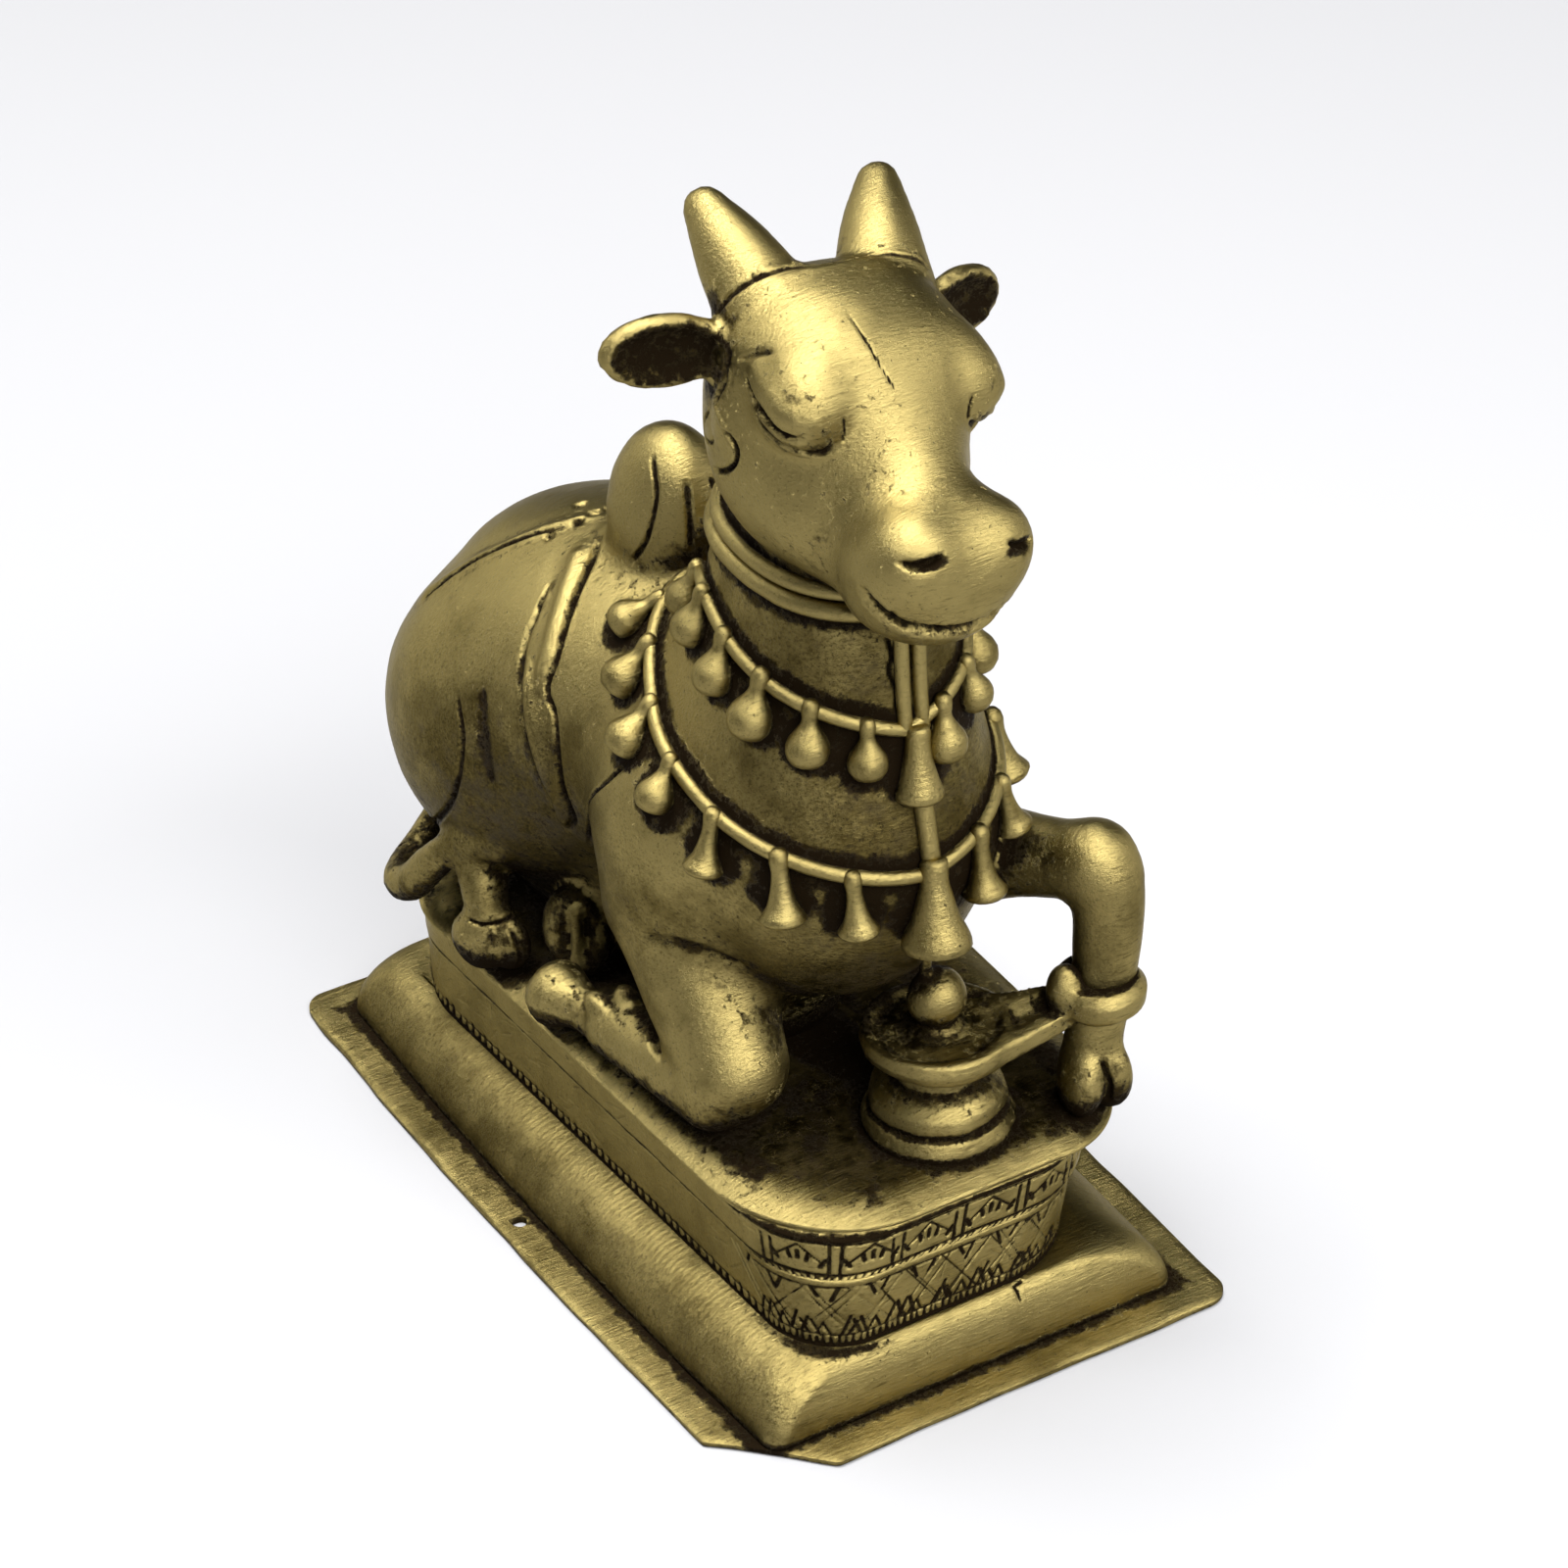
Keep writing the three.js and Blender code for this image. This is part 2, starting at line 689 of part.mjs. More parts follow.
// A rounded shoulder: it stands steep on the flange and rolls over towards the wall
function moulding() {
  const layer = (rise) => {
    const run = 1 - Math.sqrt(Math.max(0, 1 - rise * rise));
    const radius = 1.5 + 2 * run;
    return outline(FLANGE_THICKNESS - 0.2 + rise * MOULDING.height, {
      halfWidth: MOULDING.halfWidth - MOULDING_RUN_SIDE * run,
      halfLength: MOULDING.halfLength - MOULDING_RUN_END * run,
      radii: { frontRight: radius, frontLeft: radius, rear: radius },
      bow: FLANGE_BOW * (1 - run),
      taper: WALL_TAPER * run,
    });
  };
  return loft([0, 0.3, 0.55, 0.75, 0.9, 1].map(layer));
}

function wallAndPlate() {
  const layer = ([height, spread]) =>
    outline(height, {
      halfWidth: WALL.halfWidth + spread * PLATE_OVERHANG_SIDE,
      halfLength: WALL.halfLength + spread * PLATE_OVERHANG_FRONT,
      radii: { frontRight: 10 + 10 * spread, frontLeft: 19 - 4 * spread, rear: 17 },
      taper: WALL_TAPER,
      shift: spread * PLATE_SHIFT,
    });
  const top = WALL.foot + WALL_HEIGHT;
  const step = FRIEZE_STEP / PLATE_OVERHANG_SIDE;
  const lean = 0.5 - step;
  const atFrieze = lean * (1 - FRIEZE_HEIGHT / WALL_HEIGHT);
  return loft(
    [
      [WALL.foot - 3, 0],
      [WALL.foot, 0],
      [top - FRIEZE_HEIGHT - FRIEZE_STEP, atFrieze],
      [top - FRIEZE_HEIGHT, atFrieze + step],
      [top, lean + step],
      [top + 0.15 * LIP_HEIGHT, 0.9],
      [top + 0.5 * LIP_HEIGHT, 1],
      [top + 0.85 * LIP_HEIGHT, 1],
      [PLATE_TOP, 0.92],
    ].map(layer),
  );
}

function plinth() {
  return joined([flange(), solidFrom(moulding()), solidFrom(wallAndPlate())]);
}

// The lingam: a turned stand, a dished disc with a spout, and a ball
const LINGAM_AT = at(5.5, -39, 0);
const SPOUT_START = at(9, -42, 13.4);
const SPOUT_END = at(22.4, -44.4, 14.8);
const SPOUT_SECTION = [
  [-1, 1.1], [-0.6, 1.2], [0, 0.1], [0.6, 1.2], [1, 1.1], [0.8, -1.4], [0, -1.9], [-0.8, -1.4],
];

// A turned form: each stop is [radius, height], and the first and last stops lie on the axis
function turned(stops, sides) {
  const profile = stops.map(([radius, height]) => new THREE.Vector2(radius, height));
  return new THREE.LatheGeometry(profile, sides);
}

function lingam() {
  const stand = turned(
    [
      [0, -1], [10, -1], [10.3, 0.8], [9.6, 2.6], [8.6, 3], [9.2, 4], [9, 5.6], [7.4, 6.8],
      [5.7, 7.8], [5.6, 10.2], [7.4, 11.2], [9.8, 12], [10.4, 13.4], [9.9, 14.9], [8.8, 15],
      [7.4, 14.2], [4.4, 15], [3.7, 16.4], [2.8, 16.8], [0, 16.8],
    ],
    20,
  );
  stand.rotateX(Math.PI / 2);
  stand.translate(LINGAM_AT.x, LINGAM_AT.y, LINGAM_AT.z);
  const ball = new THREE.SphereGeometry(4.15, 14, 9);
  ball.rotateX(Math.PI / 2);
  ball.translate(LINGAM_AT.x, LINGAM_AT.y, 19.2);
  const strut = rod(at(LINGAM_AT.x, LINGAM_AT.y, 21), at(2.6, -42, 32), 1.3, 6);
  const pieces = [meshFromGeometry(stand), meshFromGeometry(ball), spout(), strut];
  return joined(pieces.map(figureSolid));
}

// The spout narrows from the disc to the leg ring, with a channel along its top
function spout() {
  const section = (share) => {
    const centre = SPOUT_START.clone().lerp(SPOUT_END, share);
    const half = 6.2 - 3.2 * share;
    const across = at(0.2, 0.98, 0);
    return SPOUT_SECTION.map(([side, rise]) => {
      const p = centre.clone().addScaledVector(across, side * half);
      p.z += rise;
      return p;
    });
  };
  return loft([1, 0.5, 0].map(section));
}

function rod(from, to, radius, sides) {
  const along = to.clone().sub(from);
  const geometry = new THREE.CylinderGeometry(radius, radius, along.length(), sides);
  const turn = new THREE.Quaternion().setFromUnitVectors(at(0, 1, 0), along.clone().normalize());
  geometry.applyQuaternion(turn);
  geometry.translate(...from.clone().add(to).multiplyScalar(0.5));
  return meshFromGeometry(geometry);
}

// Garlands: cords laid on the chest and shoulders, with drops and bells hung from them. A place on
// the body is found by going out from the neck's axis in a direction until the surface is reached.
const NECK_AXIS = at(0, -12, 0);
const GARLAND_STEPS = 44;

function outwards(angle) {
  const turn = THREE.MathUtils.degToRad(angle);
  return at(-Math.sin(turn), -Math.cos(turn), 0);
}

function onBody(body, angle, height) {
  const direction = outwards(angle);
  let distance = 2;
  for (let pass = 0; pass < 60; pass += 1) {
    const p = NECK_AXIS.clone().addScaledVector(direction, distance);
    const depth = -body.distance(p.x, p.y, height);
    if (Math.abs(depth) < 0.01) break;
    distance += 0.8 * depth;
  }
  const place = NECK_AXIS.clone().addScaledVector(direction, distance);
  place.z = height;
  return place;
}

function normalAt(body, p) {
  const step = 0.3;
  return at(
    body.distance(p.x + step, p.y, p.z) - body.distance(p.x - step, p.y, p.z),
    body.distance(p.x, p.y + step, p.z) - body.distance(p.x, p.y - step, p.z),
    body.distance(p.x, p.y, p.z + step) - body.distance(p.x, p.y, p.z - step),
  ).normalize();
}

const GARLANDS = [
  {
    height: (angle) => 62.7 + 9.4 * Math.abs(Math.sin(THREE.MathUtils.degToRad(angle))),
    radius: 1.15,
    drops: [10, 23, 37, 54, 80, 115],
    bells: [],
  },
  {
    height: (angle) => 43.4 + 18 * Math.sin(THREE.MathUtils.degToRad(Math.abs(angle)) / 2) ** 1.25,
    radius: 1.25,
    drops: [72, 95, 124, 150],
    bells: [16, 32, 51],
  },
];
const COLLARS = [
  { height: () => 82.4, radius: 1.1 },
  { height: () => 80, radius: 1.3 },
];

// A closed ring of round section, laid half sunk on the body
function cord(body, { height, radius }, steps) {
  const path = [];
  for (let n = 0; n < steps; n += 1) {
    const angle = -180 + (360 * n) / steps;
    path.push(onBody(body, angle, height(angle)));
  }
  const points = [];
  const faces = [];
  const sides = CORD_SIDES;
  path.forEach((p, n) => {
    const along = path[(n + 1) % steps].clone().sub(path[(n + steps - 1) % steps]).normalize();
    const out = normalAt(body, p);
    out.addScaledVector(along, -out.dot(along)).normalize();
    const up = along.clone().cross(out);
    for (let m = 0; m < sides; m += 1) {
      const turn = (2 * Math.PI * m) / sides;
      points.push(
        p.clone()
          .addScaledVector(out, radius * (0.35 + Math.cos(turn)))
          .addScaledVector(up, radius * Math.sin(turn)),
      );
      const [a, b] = [n * sides + m, n * sides + ((m + 1) % sides)];
      const [c, d] = [a, b].map((v) => (v + sides) % (steps * sides));
      faces.push([a, b, d], [a, d, c]);
    }
  });
  return { points, faces };
}

const DROP = [[0, -1.2], [1, -0.6], [1.2, 1], [2.5, 3.6], [2.3, 5.2], [0, 6.6]];
const BELL = [[0, -1], [1, -0.6], [1.3, 2.4], [1.9, 4.6], [2.9, 6.6], [2.5, 7.4], [0, 7.4]];
const MIDDLE_BELLS = [
  { height: 62.4, stops: [[0, -1], [1.6, -0.6], [1.6, 1.6], [2, 4.4], [3, 8], [2.4, 9], [0, 9]] },
  { height: 44.6, stops: [[0, -1], [1.7, -0.6], [2, 3], [2.6, 7], [4.1, 11.2], [3.8, 12.4], [0, 12.4]] },
];

// A turned pendant that hangs down the body's surface from a place on it
function pendant(body, place, stops, sides) {
  const out = normalAt(body, place);
  const down = at(0, 0, -1).addScaledVector(out, out.z).normalize();
  const turn = new THREE.Matrix4().makeBasis(out, down, out.clone().cross(down));
  const geometry = turned(stops, sides).applyMatrix4(turn);
  geometry.translate(...place.clone().addScaledVector(out, 0.5));
  return meshFromGeometry(geometry);
}

function garlands(body) {
  const pieces = [];
  for (const garland of GARLANDS) {
    pieces.push(cord(body, garland, GARLAND_STEPS));
    for (const side of [-1, 1]) {
      for (const angle of garland.drops) {
        const place = onBody(body, side * angle, garland.height(side * angle) - 1);
        pieces.push(pendant(body, place, DROP, DROP_SIDES));
      }
      for (const angle of garland.bells) {
        const place = onBody(body, side * angle, garland.height(side * angle) - 1);
        pieces.push(pendant(body, place, BELL, DROP_SIDES));
      }
    }
  }
  for (const collar of COLLARS) pieces.push(cord(body, collar, 24));
  for (const { height, stops } of MIDDLE_BELLS) {
    pieces.push(pendant(body, onBody(body, -2, height), stops, DROP_SIDES + 2));
  }
  const strap = [79, 62.4, 53.5, 44.6].map((height) => onBody(body, -2, height));
  pieces.push(rod(strap[0], strap[1], 1.6, 6), rod(strap[2], strap[3], 1.3, 6));
  return joined(pieces.map(figureSolid));
}

// The ring above the raised hoof, with a rough lump of casting metal where the spout meets it
function legRing() {
  const ring = turned([[0, -2.4], [5, -2.4], [6.1, -1.2], [6.2, 1], [5.2, 2.4], [0, 2.4]], 12);
  ring.rotateX(Math.PI / 2);
  ring.translate(25.4, -46, 16.6);
  const lump = new THREE.SphereGeometry(1, 8, 6);
  lump.scale(2.7, 2.5, 4);
  lump.translate(20.9, -45.4, 17.6);
  return joined([ring, lump].map((geometry) => figureSolid(meshFromGeometry(geometry))));
}

// A tube along a smooth curve through a few points
function tube(points, radius, steps) {
  const section = new THREE.Shape();
  for (let n = 0; n < CORD_SIDES; n += 1) {
    const turn = (2 * Math.PI * n) / CORD_SIDES;
    const corner = [radius * Math.cos(turn), radius * Math.sin(turn)];
    if (n === 0) section.moveTo(...corner);
    else section.lineTo(...corner);
  }
  section.closePath();
  const extrudePath = new THREE.CatmullRomCurve3(points);
  return meshFromGeometry(new THREE.ExtrudeGeometry(section, { steps, extrudePath, bevelEnabled: false }));
}

// The saddle cloth's girth: a welt from flank to flank over the back, behind the shoulders. Each
// place is an angle about the neck's axis and a height.
const GIRTH = [[138, 26], [131, 34], [131, 42], [143, 51.2], [160, 57.5], [173, 59.1]];

function girth(body) {
  const right = GIRTH.map(([angle, height]) => onBody(body, angle, height));
  const left = GIRTH.map(([angle, height]) => onBody(body, -angle, height)).reverse();
  return figureSolid(tube([...right, ...left], 1.1, 36));
}

// The carved lines of the face, in the head's own place
const MOUTH = [
  [0, -34, -16], [4, -33.4, -15.9], [7.4, -31.2, -14.9], [10.2, -27.6, -12.4], [12, -23.6, -10.4],
];
const NOSTRIL = [[4.2, -34.4, -8.2], [7.2, -33.4, -8.6], [9.2, -31.2, -8]];
const EYELID = [[5.2, -19.2, 3.6], [9.6, -18.4, 0.4], [13.4, -14, 0.4], [15.6, -8.6, 3]];

function faceLine(stops, side) {
  return stops.map(([x, y, z]) => at(side * x, y, z).applyMatrix4(turnedTo(HEAD_AT, HEAD_TURN)));
}

function faceLines() {
  const lines = [tube([...faceLine(MOUTH, -1).reverse(), ...faceLine(MOUTH.slice(1), 1)], 0.9, 20)];
  for (const side of [-1, 1]) {
    lines.push(tube(faceLine(NOSTRIL, side), 1.1, 5), tube(faceLine(EYELID, side), 0.8, 8));
  }
  return joined(lines.map(figureSolid));
}

// The part of a form above a level
function above(level, body) {
  const distance = (x, y, z) => Math.max(body.distance(x, y, z), level - z);
  return form(distance, body.centre, body.reach);
}

function figure() {
  const box = new THREE.Box3(at(-36, -64, -3), at(36, 64, 128));
  const field = above(-SUNK, bull());
  const mesh = surfaceOf(field, box, CELL);
  settled(mesh.points, field);
  const body = figureSolid(thinned(mesh, BULL_TRIANGLES, (p) => p.z > CHIN_LEVEL));
  const dressed = blend(5, trunk(), rightForeleg(), leftForeleg());
  const whole = joined([body, garlands(dressed), girth(dressed), legRing(), lingam()]);
  const fine = finelyMade(field);
  return solidFrom(thinned(meshOf(whole), FIGURE_TRIANGLES, fine)).subtract(faceLines());
}

// Reads a joined solid back as points and faces
function meshOf(solid) {
  const { vertProperties, triVerts, numProp } = solid.getMesh();
  const points = [];
  for (let n = 0; n < vertProperties.length; n += numProp) {
    points.push(at(vertProperties[n], vertProperties[n + 1], vertProperties[n + 2]));
  }
  const faces = [];
  for (let n = 0; n < triVerts.length; n += 3) faces.push([...triVerts.slice(n, n + 3)]);
  return { points, faces };
}

// The head, and what stands out of the bare body: the garlands, the ring and the lingam
function finelyMade(body) {
  return (p) => {
    const height = (p.z - PLATE_TOP) / UNIT;
    const out = body.distance(p.x / UNIT, p.y / UNIT, height);
    return height > CHIN_LEVEL || (height > 0.5 && out > 0.6);
  };
}

function finished(solid, name, material) {
  const { vertProperties, triVerts } = solid.getMesh();
  const geometry = new THREE.BufferGeometry();
  geometry.setAttribute("position", new THREE.BufferAttribute(new Float32Array(vertProperties), 3));
  geometry.setIndex(new THREE.BufferAttribute(new Uint32Array(triVerts), 1));
  geometry.computeVertexNormals();
  const mesh = new THREE.Mesh(geometry, material);
  mesh.name = name;
  return mesh;
}

const brass = new THREE.MeshStandardMaterial({ color: 0x9a8347, metalness: 1, roughness: 0.4 });
brass.name = "cast_brass";
const group = new THREE.Group();
group.name = "nandi_figure";
group.add(finished(joined([plinth(), figure()]), "nandi_bull", brass));

export default group;
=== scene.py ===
# %% [markdown]
# # A brass Nandi, from a fixed frame to a finished figure
# The real object is a small temple bull, cast in brass by the lost wax way, filed, punched and worn by
# hands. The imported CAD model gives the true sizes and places. This lesson builds the fine surface around
# it. All lengths below are in millimetres, and MM turns them to Blender's metres.

import math
from itertools import product

import bpy
import numpy as np
from mathutils import Matrix, Vector


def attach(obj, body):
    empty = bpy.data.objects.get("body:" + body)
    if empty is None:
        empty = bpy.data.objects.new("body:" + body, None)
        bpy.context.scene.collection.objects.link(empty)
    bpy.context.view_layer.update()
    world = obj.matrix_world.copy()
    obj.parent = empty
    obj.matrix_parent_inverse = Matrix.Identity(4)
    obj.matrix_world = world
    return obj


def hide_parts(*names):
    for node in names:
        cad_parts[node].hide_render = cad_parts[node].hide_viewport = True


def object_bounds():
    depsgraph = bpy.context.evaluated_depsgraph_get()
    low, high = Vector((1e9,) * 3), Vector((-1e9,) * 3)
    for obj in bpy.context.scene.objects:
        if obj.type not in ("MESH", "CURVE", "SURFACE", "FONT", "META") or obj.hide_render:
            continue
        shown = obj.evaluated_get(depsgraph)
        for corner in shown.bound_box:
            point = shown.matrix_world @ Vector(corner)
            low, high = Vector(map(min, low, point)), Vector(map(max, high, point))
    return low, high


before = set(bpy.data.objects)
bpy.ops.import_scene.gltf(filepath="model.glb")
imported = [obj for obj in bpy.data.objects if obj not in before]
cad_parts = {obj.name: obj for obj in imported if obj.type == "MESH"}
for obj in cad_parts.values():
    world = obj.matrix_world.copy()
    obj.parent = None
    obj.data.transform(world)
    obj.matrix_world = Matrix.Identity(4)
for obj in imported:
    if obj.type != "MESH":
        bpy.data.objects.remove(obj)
CAD_BOX = [list(corner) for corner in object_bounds()]
MM = 0.001
CAD_SIZE = [(high - low) / MM for low, high in zip(*CAD_BOX)]
print("CAD box, mm:", [round(side, 1) for side in CAD_SIZE])

# %% [markdown]
# ## The camera
# The photograph was taken from in front of the bull's right shoulder, from well above, with a long lens.
# A long lens far away keeps the plinth's edges nearly parallel. The camera's turn is written as three
# angles, and its place as the distance of the origin in the camera's own axes, because those are the
# values that a comparison of the plinth's corners with the photograph gives.

# %% Camera
CAMERA_AZIMUTH = -30.87
CAMERA_ELEVATION = 34.05
CAMERA_ROLL = -1.36
CAMERA_OFFSET = (-4.9, -49.3, 723.4)
LENS = 122.0


def put_in_scene(name, data):
    """A new object on the data, linked to the scene."""
    thing = bpy.data.objects.new(name, data)
    bpy.context.scene.collection.objects.link(thing)
    return thing


def camera_axes(azimuth, elevation, roll):
    """The camera's right, up and back directions for its angles in degrees."""
    a, e, r = (math.radians(angle) for angle in (azimuth, elevation, roll))
    back = Vector((math.sin(a) * math.cos(e), -math.cos(a) * math.cos(e), math.sin(e)))
    right = Vector((math.cos(a), math.sin(a), 0))
    up = back.cross(right)
    return right * math.cos(r) + up * math.sin(r), up * math.cos(r) - right * math.sin(r), back


def make_camera():
    right, up, back = camera_axes(CAMERA_AZIMUTH, CAMERA_ELEVATION, CAMERA_ROLL)
    aside, upward, away = CAMERA_OFFSET
    data = bpy.data.cameras.new("camera")
    data.lens = LENS
    camera = put_in_scene("camera", data)
    camera.matrix_world = Matrix((right, up, back)).transposed().to_4x4()
    camera.location = (back * away - right * aside - up * upward) * MM
    bpy.context.scene.camera = camera
    return camera


camera = make_camera()
print("camera at, mm:", [round(value / MM) for value in camera.location])

# %% [markdown]
# ## Forms as distances
# A cast animal has no flat faces and few edges: its forms melt into each other. Box modelling makes that
# slowly. A distance field makes it by rule: each form is a function that gives the distance to its
# surface, negative inside, and forms are joined with a soft minimum. The CAD model of this bull is made
# from the same forms, so the fine skin made here lies on the frame's solid with no fitting.

# %% Fields
def smooth_path(stops, step=0.35):
    """A Catmull-Rom curve through the stops, with a point about every step."""
    p = np.array(stops, float)
    p = np.concatenate([[2 * p[0] - p[1]], p, [2 * p[-1] - p[-2]]])
    out = []
    for a, b, c, d in zip(p, p[1:], p[2:], p[3:]):
        count = max(2, math.ceil(np.linalg.norm(c - b) / step))
        for t in np.arange(count) / count:
            square, cube = 2 * a - 5 * b + 4 * c - d, 3 * b - 3 * c + d - a
            out.append(0.5 * (2 * b + (c - a) * t + square * t**2 + cube * t**3))
    out.append(p[-2])
    return np.array(out)


class Form:
    """A distance to a surface, and a ball that holds the form so that far points are skipped."""

    def __init__(self, distance, centre, reach):
        self.distance = distance
        self.centre = np.array(centre, float)
        self.reach = reach


def turning(degrees):
    """A turn about Z, then X, then Y."""
    x, y, z = (math.radians(angle) for angle in degrees)
    turn = Matrix.Rotation(z, 3, "Z") @ Matrix.Rotation(x, 3, "X") @ Matrix.Rotation(y, 3, "Y")
    return np.array(turn)


def ellipsoid(centre, radii, turn=(0, 0, 0)):
    centre = np.array(centre, float)
    radii = np.array(radii, float)
    axes = turning(turn)

    def distance(p):
        q = (p - centre) @ axes / radii
        near = np.linalg.norm(q, axis=1)
        slope = np.linalg.norm(q / radii, axis=1)
        return np.where(slope < 1e-9, -radii.min(), near * (near - 1) / np.maximum(slope, 1e-9))

    return Form(distance, centre, radii.max())


def limb(a, b, radius_a, radius_b):
    """A straight limb between two points, round in section, with its own radius at each end."""
    a = np.array(a, float)
    axis = np.array(b, float) - a
    length2 = axis @ axis

    def distance(p):
        share = np.clip((p - a) @ axis / length2, 0, 1)
        gap = np.linalg.norm(p - a - share[:, None] * axis, axis=1)
        return gap - (radius_a + share * (radius_b - radius_a))

    return Form(distance, a + axis / 2, math.sqrt(length2) / 2 + max(radius_a, radius_b))


test_ball = ellipsoid((0, 0, 0), (10, 10, 10))
print("from 15 mm off, a ball of 10 mm is this far:", test_ball.distance(np.array([[15.0, 0, 0]])))

# %% [markdown]
# ## Joining forms
# Boolean modifiers could join the forms, but they leave hard seams. A soft minimum rounds each seam over
# a width, as a modeller's thumb does in wax, and the same rule turned round hollows one form out of
# another. A joined form has a ball that holds it too, so joined forms can be joined again.

# %% Joined forms
def holding_ball(forms):
    low = np.min([form.centre - form.reach for form in forms], axis=0)
    high = np.max([form.centre + form.reach for form in forms], axis=0)
    centre = (low + high) / 2
    return centre, max(np.linalg.norm(form.centre - centre) + form.reach for form in forms)


def blend(width, *forms):
    """Forms that melt into each other over a width."""

    def distance(p):
        nearest = np.full(len(p), 1e9)
        for form in forms:
            outside = np.linalg.norm(p - form.centre, axis=1) - form.reach
            close = np.flatnonzero(outside <= nearest + width)
            if len(close) == 0:
                continue
            d = form.distance(p[close])
            old = nearest[close]
            overlap = np.maximum(width - np.abs(old - d), 0) / width
            nearest[close] = np.minimum(old, d) - overlap**2 * width / 4
        return nearest

    return Form(distance, *holding_ball(forms))


def hollow(width, body, *cuts):
    """A form with others hollowed out of it."""

    def distance(p):
        d = body.distance(p)
        for cut in cuts:
            c = -cut.distance(p)
            overlap = np.maximum(width - np.abs(d - c), 0) / width
            d = np.maximum(d, c) + overlap**2 * width / 4
        return d

    return Form(distance, body.centre, body.reach)


def spine(*stops, step=1.2):
    """A limb along one smooth curve through its stops, each (point, radius)."""
    path = smooth_path([(*point, radius) for point, radius in stops], step)
    low, high = path[:, :3].min(axis=0), path[:, :3].max(axis=0)

    def distance(p):
        best = np.full(len(p), 1e9)
        for a, b in zip(path, path[1:]):
            axis = b[:3] - a[:3]
            share = np.clip((p - a[:3]) @ axis / (axis @ axis + 1e-9), 0, 1)
            gap = np.linalg.norm(p - a[:3] - share[:, None] * axis, axis=1)
            best = np.minimum(best, gap - a[3] - share * (b[3] - a[3]))
        return best

    return Form(distance, (low + high) / 2, np.linalg.norm(high - low) / 2 + path[:, 3].max())


def placed(form, origin, turn):
    """A form turned about its own origin and then moved."""
    axes = turning(turn)
    origin = np.array(origin, float)
    return Form(lambda p: form.distance((p - origin) @ axes), axes @ form.centre + origin, form.reach)


def turned(profile):
    """A form of revolution about Z. The profile is a closed run of (radius, height) points."""
    a = np.array(profile, float)
    b = np.roll(a, -1, axis=0)
    edge = b - a

    def distance(p):
        q = np.stack([np.hypot(p[:, 0], p[:, 1]), p[:, 2]], axis=1)
        best = np.full(len(q), 1e9)
        inside = np.zeros(len(q), bool)
        for start, step, end in zip(a, edge, b):
            share = np.clip((q - start) @ step / (step @ step + 1e-12), 0, 1)
            best = np.minimum(best, np.linalg.norm(q - start - share[:, None] * step, axis=1))
            spans = (start[1] > q[:, 1]) != (end[1] > q[:, 1])
            rise = step[1] if abs(step[1]) > 1e-12 else 1e-12
            inside ^= spans & (q[:, 0] < start[0] + (q[:, 1] - start[1]) * step[0] / rise)
        return np.where(inside, -best, best)

    middle = (a[:, 1].min() + a[:, 1].max()) / 2
    return Form(distance, (0, 0, middle), np.hypot(a[:, 0], a[:, 1] - middle).max())


def above(level, form):
    """The part of a form over a level."""
    return Form(lambda p: np.maximum(form.distance(p), level - p[:, 2]), form.centre, form.reach)


test_bend = spine(((0, 0, 0), 3), ((10, 0, 0), 2), ((14, 0, 8), 1))
print("a bent limb fits in a ball of radius, mm:", round(test_bend.reach, 1))

# %% [markdown]
# ## The head's forms
# Points are in millimetres above the plate, with the bull facing -Y. The head is made upright at its own
# origin, then tilted and placed. The ears are leaves with a hollow pressed into them, and the eyes are
# ovals set into the skull under the brow, as the wax modeller laid them.

# %% The head
HEAD_AT = (-0.5, -24, 103)
HEAD_TURN = (0, 9, 1)


def horn(side):
    return spine(
        ((side * 7.2 + 0.4, -1, 4), 7.6),
        ((side * 8.6 + 0.8, 3.4, 10), 6.1),
        ((side * 10.4 + 1.2, 8.4, 14.4), 4.7),
        ((side * 12.3 + 1.8, 13.4, 18.3), 2.7),
    )


def ear_turn(side):
    return (0, -3, -14) if side < 0 else (0, 4, 20)


def ear_bowl(side):
    return ellipsoid((side * 21.5 + 0.3, 1.3, 5.6), (7.1, 3.3, 3.9), ear_turn(side))


def ear(side):
    leaf = ellipsoid((side * 21.1 + 0.3, 4, 5.6), (8, 2.6, 4.7), ear_turn(side))
    root = limb((side * 11, 2, 5.5), (side * 17, 3, 5.5), 4, 2.6)
    return hollow(0.5, blend(1.5, root, leaf), ear_bowl(side))


def eye(side):
    return ellipsoid((side * 10, -10.2, 4.6), (5.7, 7.3, 6.3), (18, side * -20, side * 18))


def head():
    skull = blend(
        7,
        ellipsoid((0, 0, 0), (14.8, 13, 13.4)),
        ellipsoid((0, -4, 5), (12.4, 10.4, 9)),
        limb((-6.5, -1, 7), (-7.5, -9, 5.5), 5.5, 5),
        limb((6.5, -1, 7), (7.5, -9, 5.5), 5.5, 5),
        limb((0, -8, 1), (0, -24, -8.4), 9.6, 6.9),
        ellipsoid((-6.5, -6, -9), (7.5, 12, 8.5)),
        ellipsoid((6.5, -6, -9), (7.5, 12, 8.5)),
        limb((0, -6, -12), (0, -20, -16), 8, 6),
    )
    muzzle = blend(
        4,
        ellipsoid((0, -25.5, -11.5), (11, 9, 8.6)),
        ellipsoid((0.6, -23.8, -16.6), (8.2, 7.4, 4.8)),
        ellipsoid((-5.4, -28.8, -8), (5, 5, 5)),
        ellipsoid((5.4, -28.8, -8), (5, 5, 5)),
    )
    eyes = blend(1.7, blend(3.5, skull, muzzle), eye(-1), eye(1))
    return blend(1.2, eyes, horn(-1), horn(1), ear(-1), ear(1), cheek_drop(-1), cheek_drop(1))


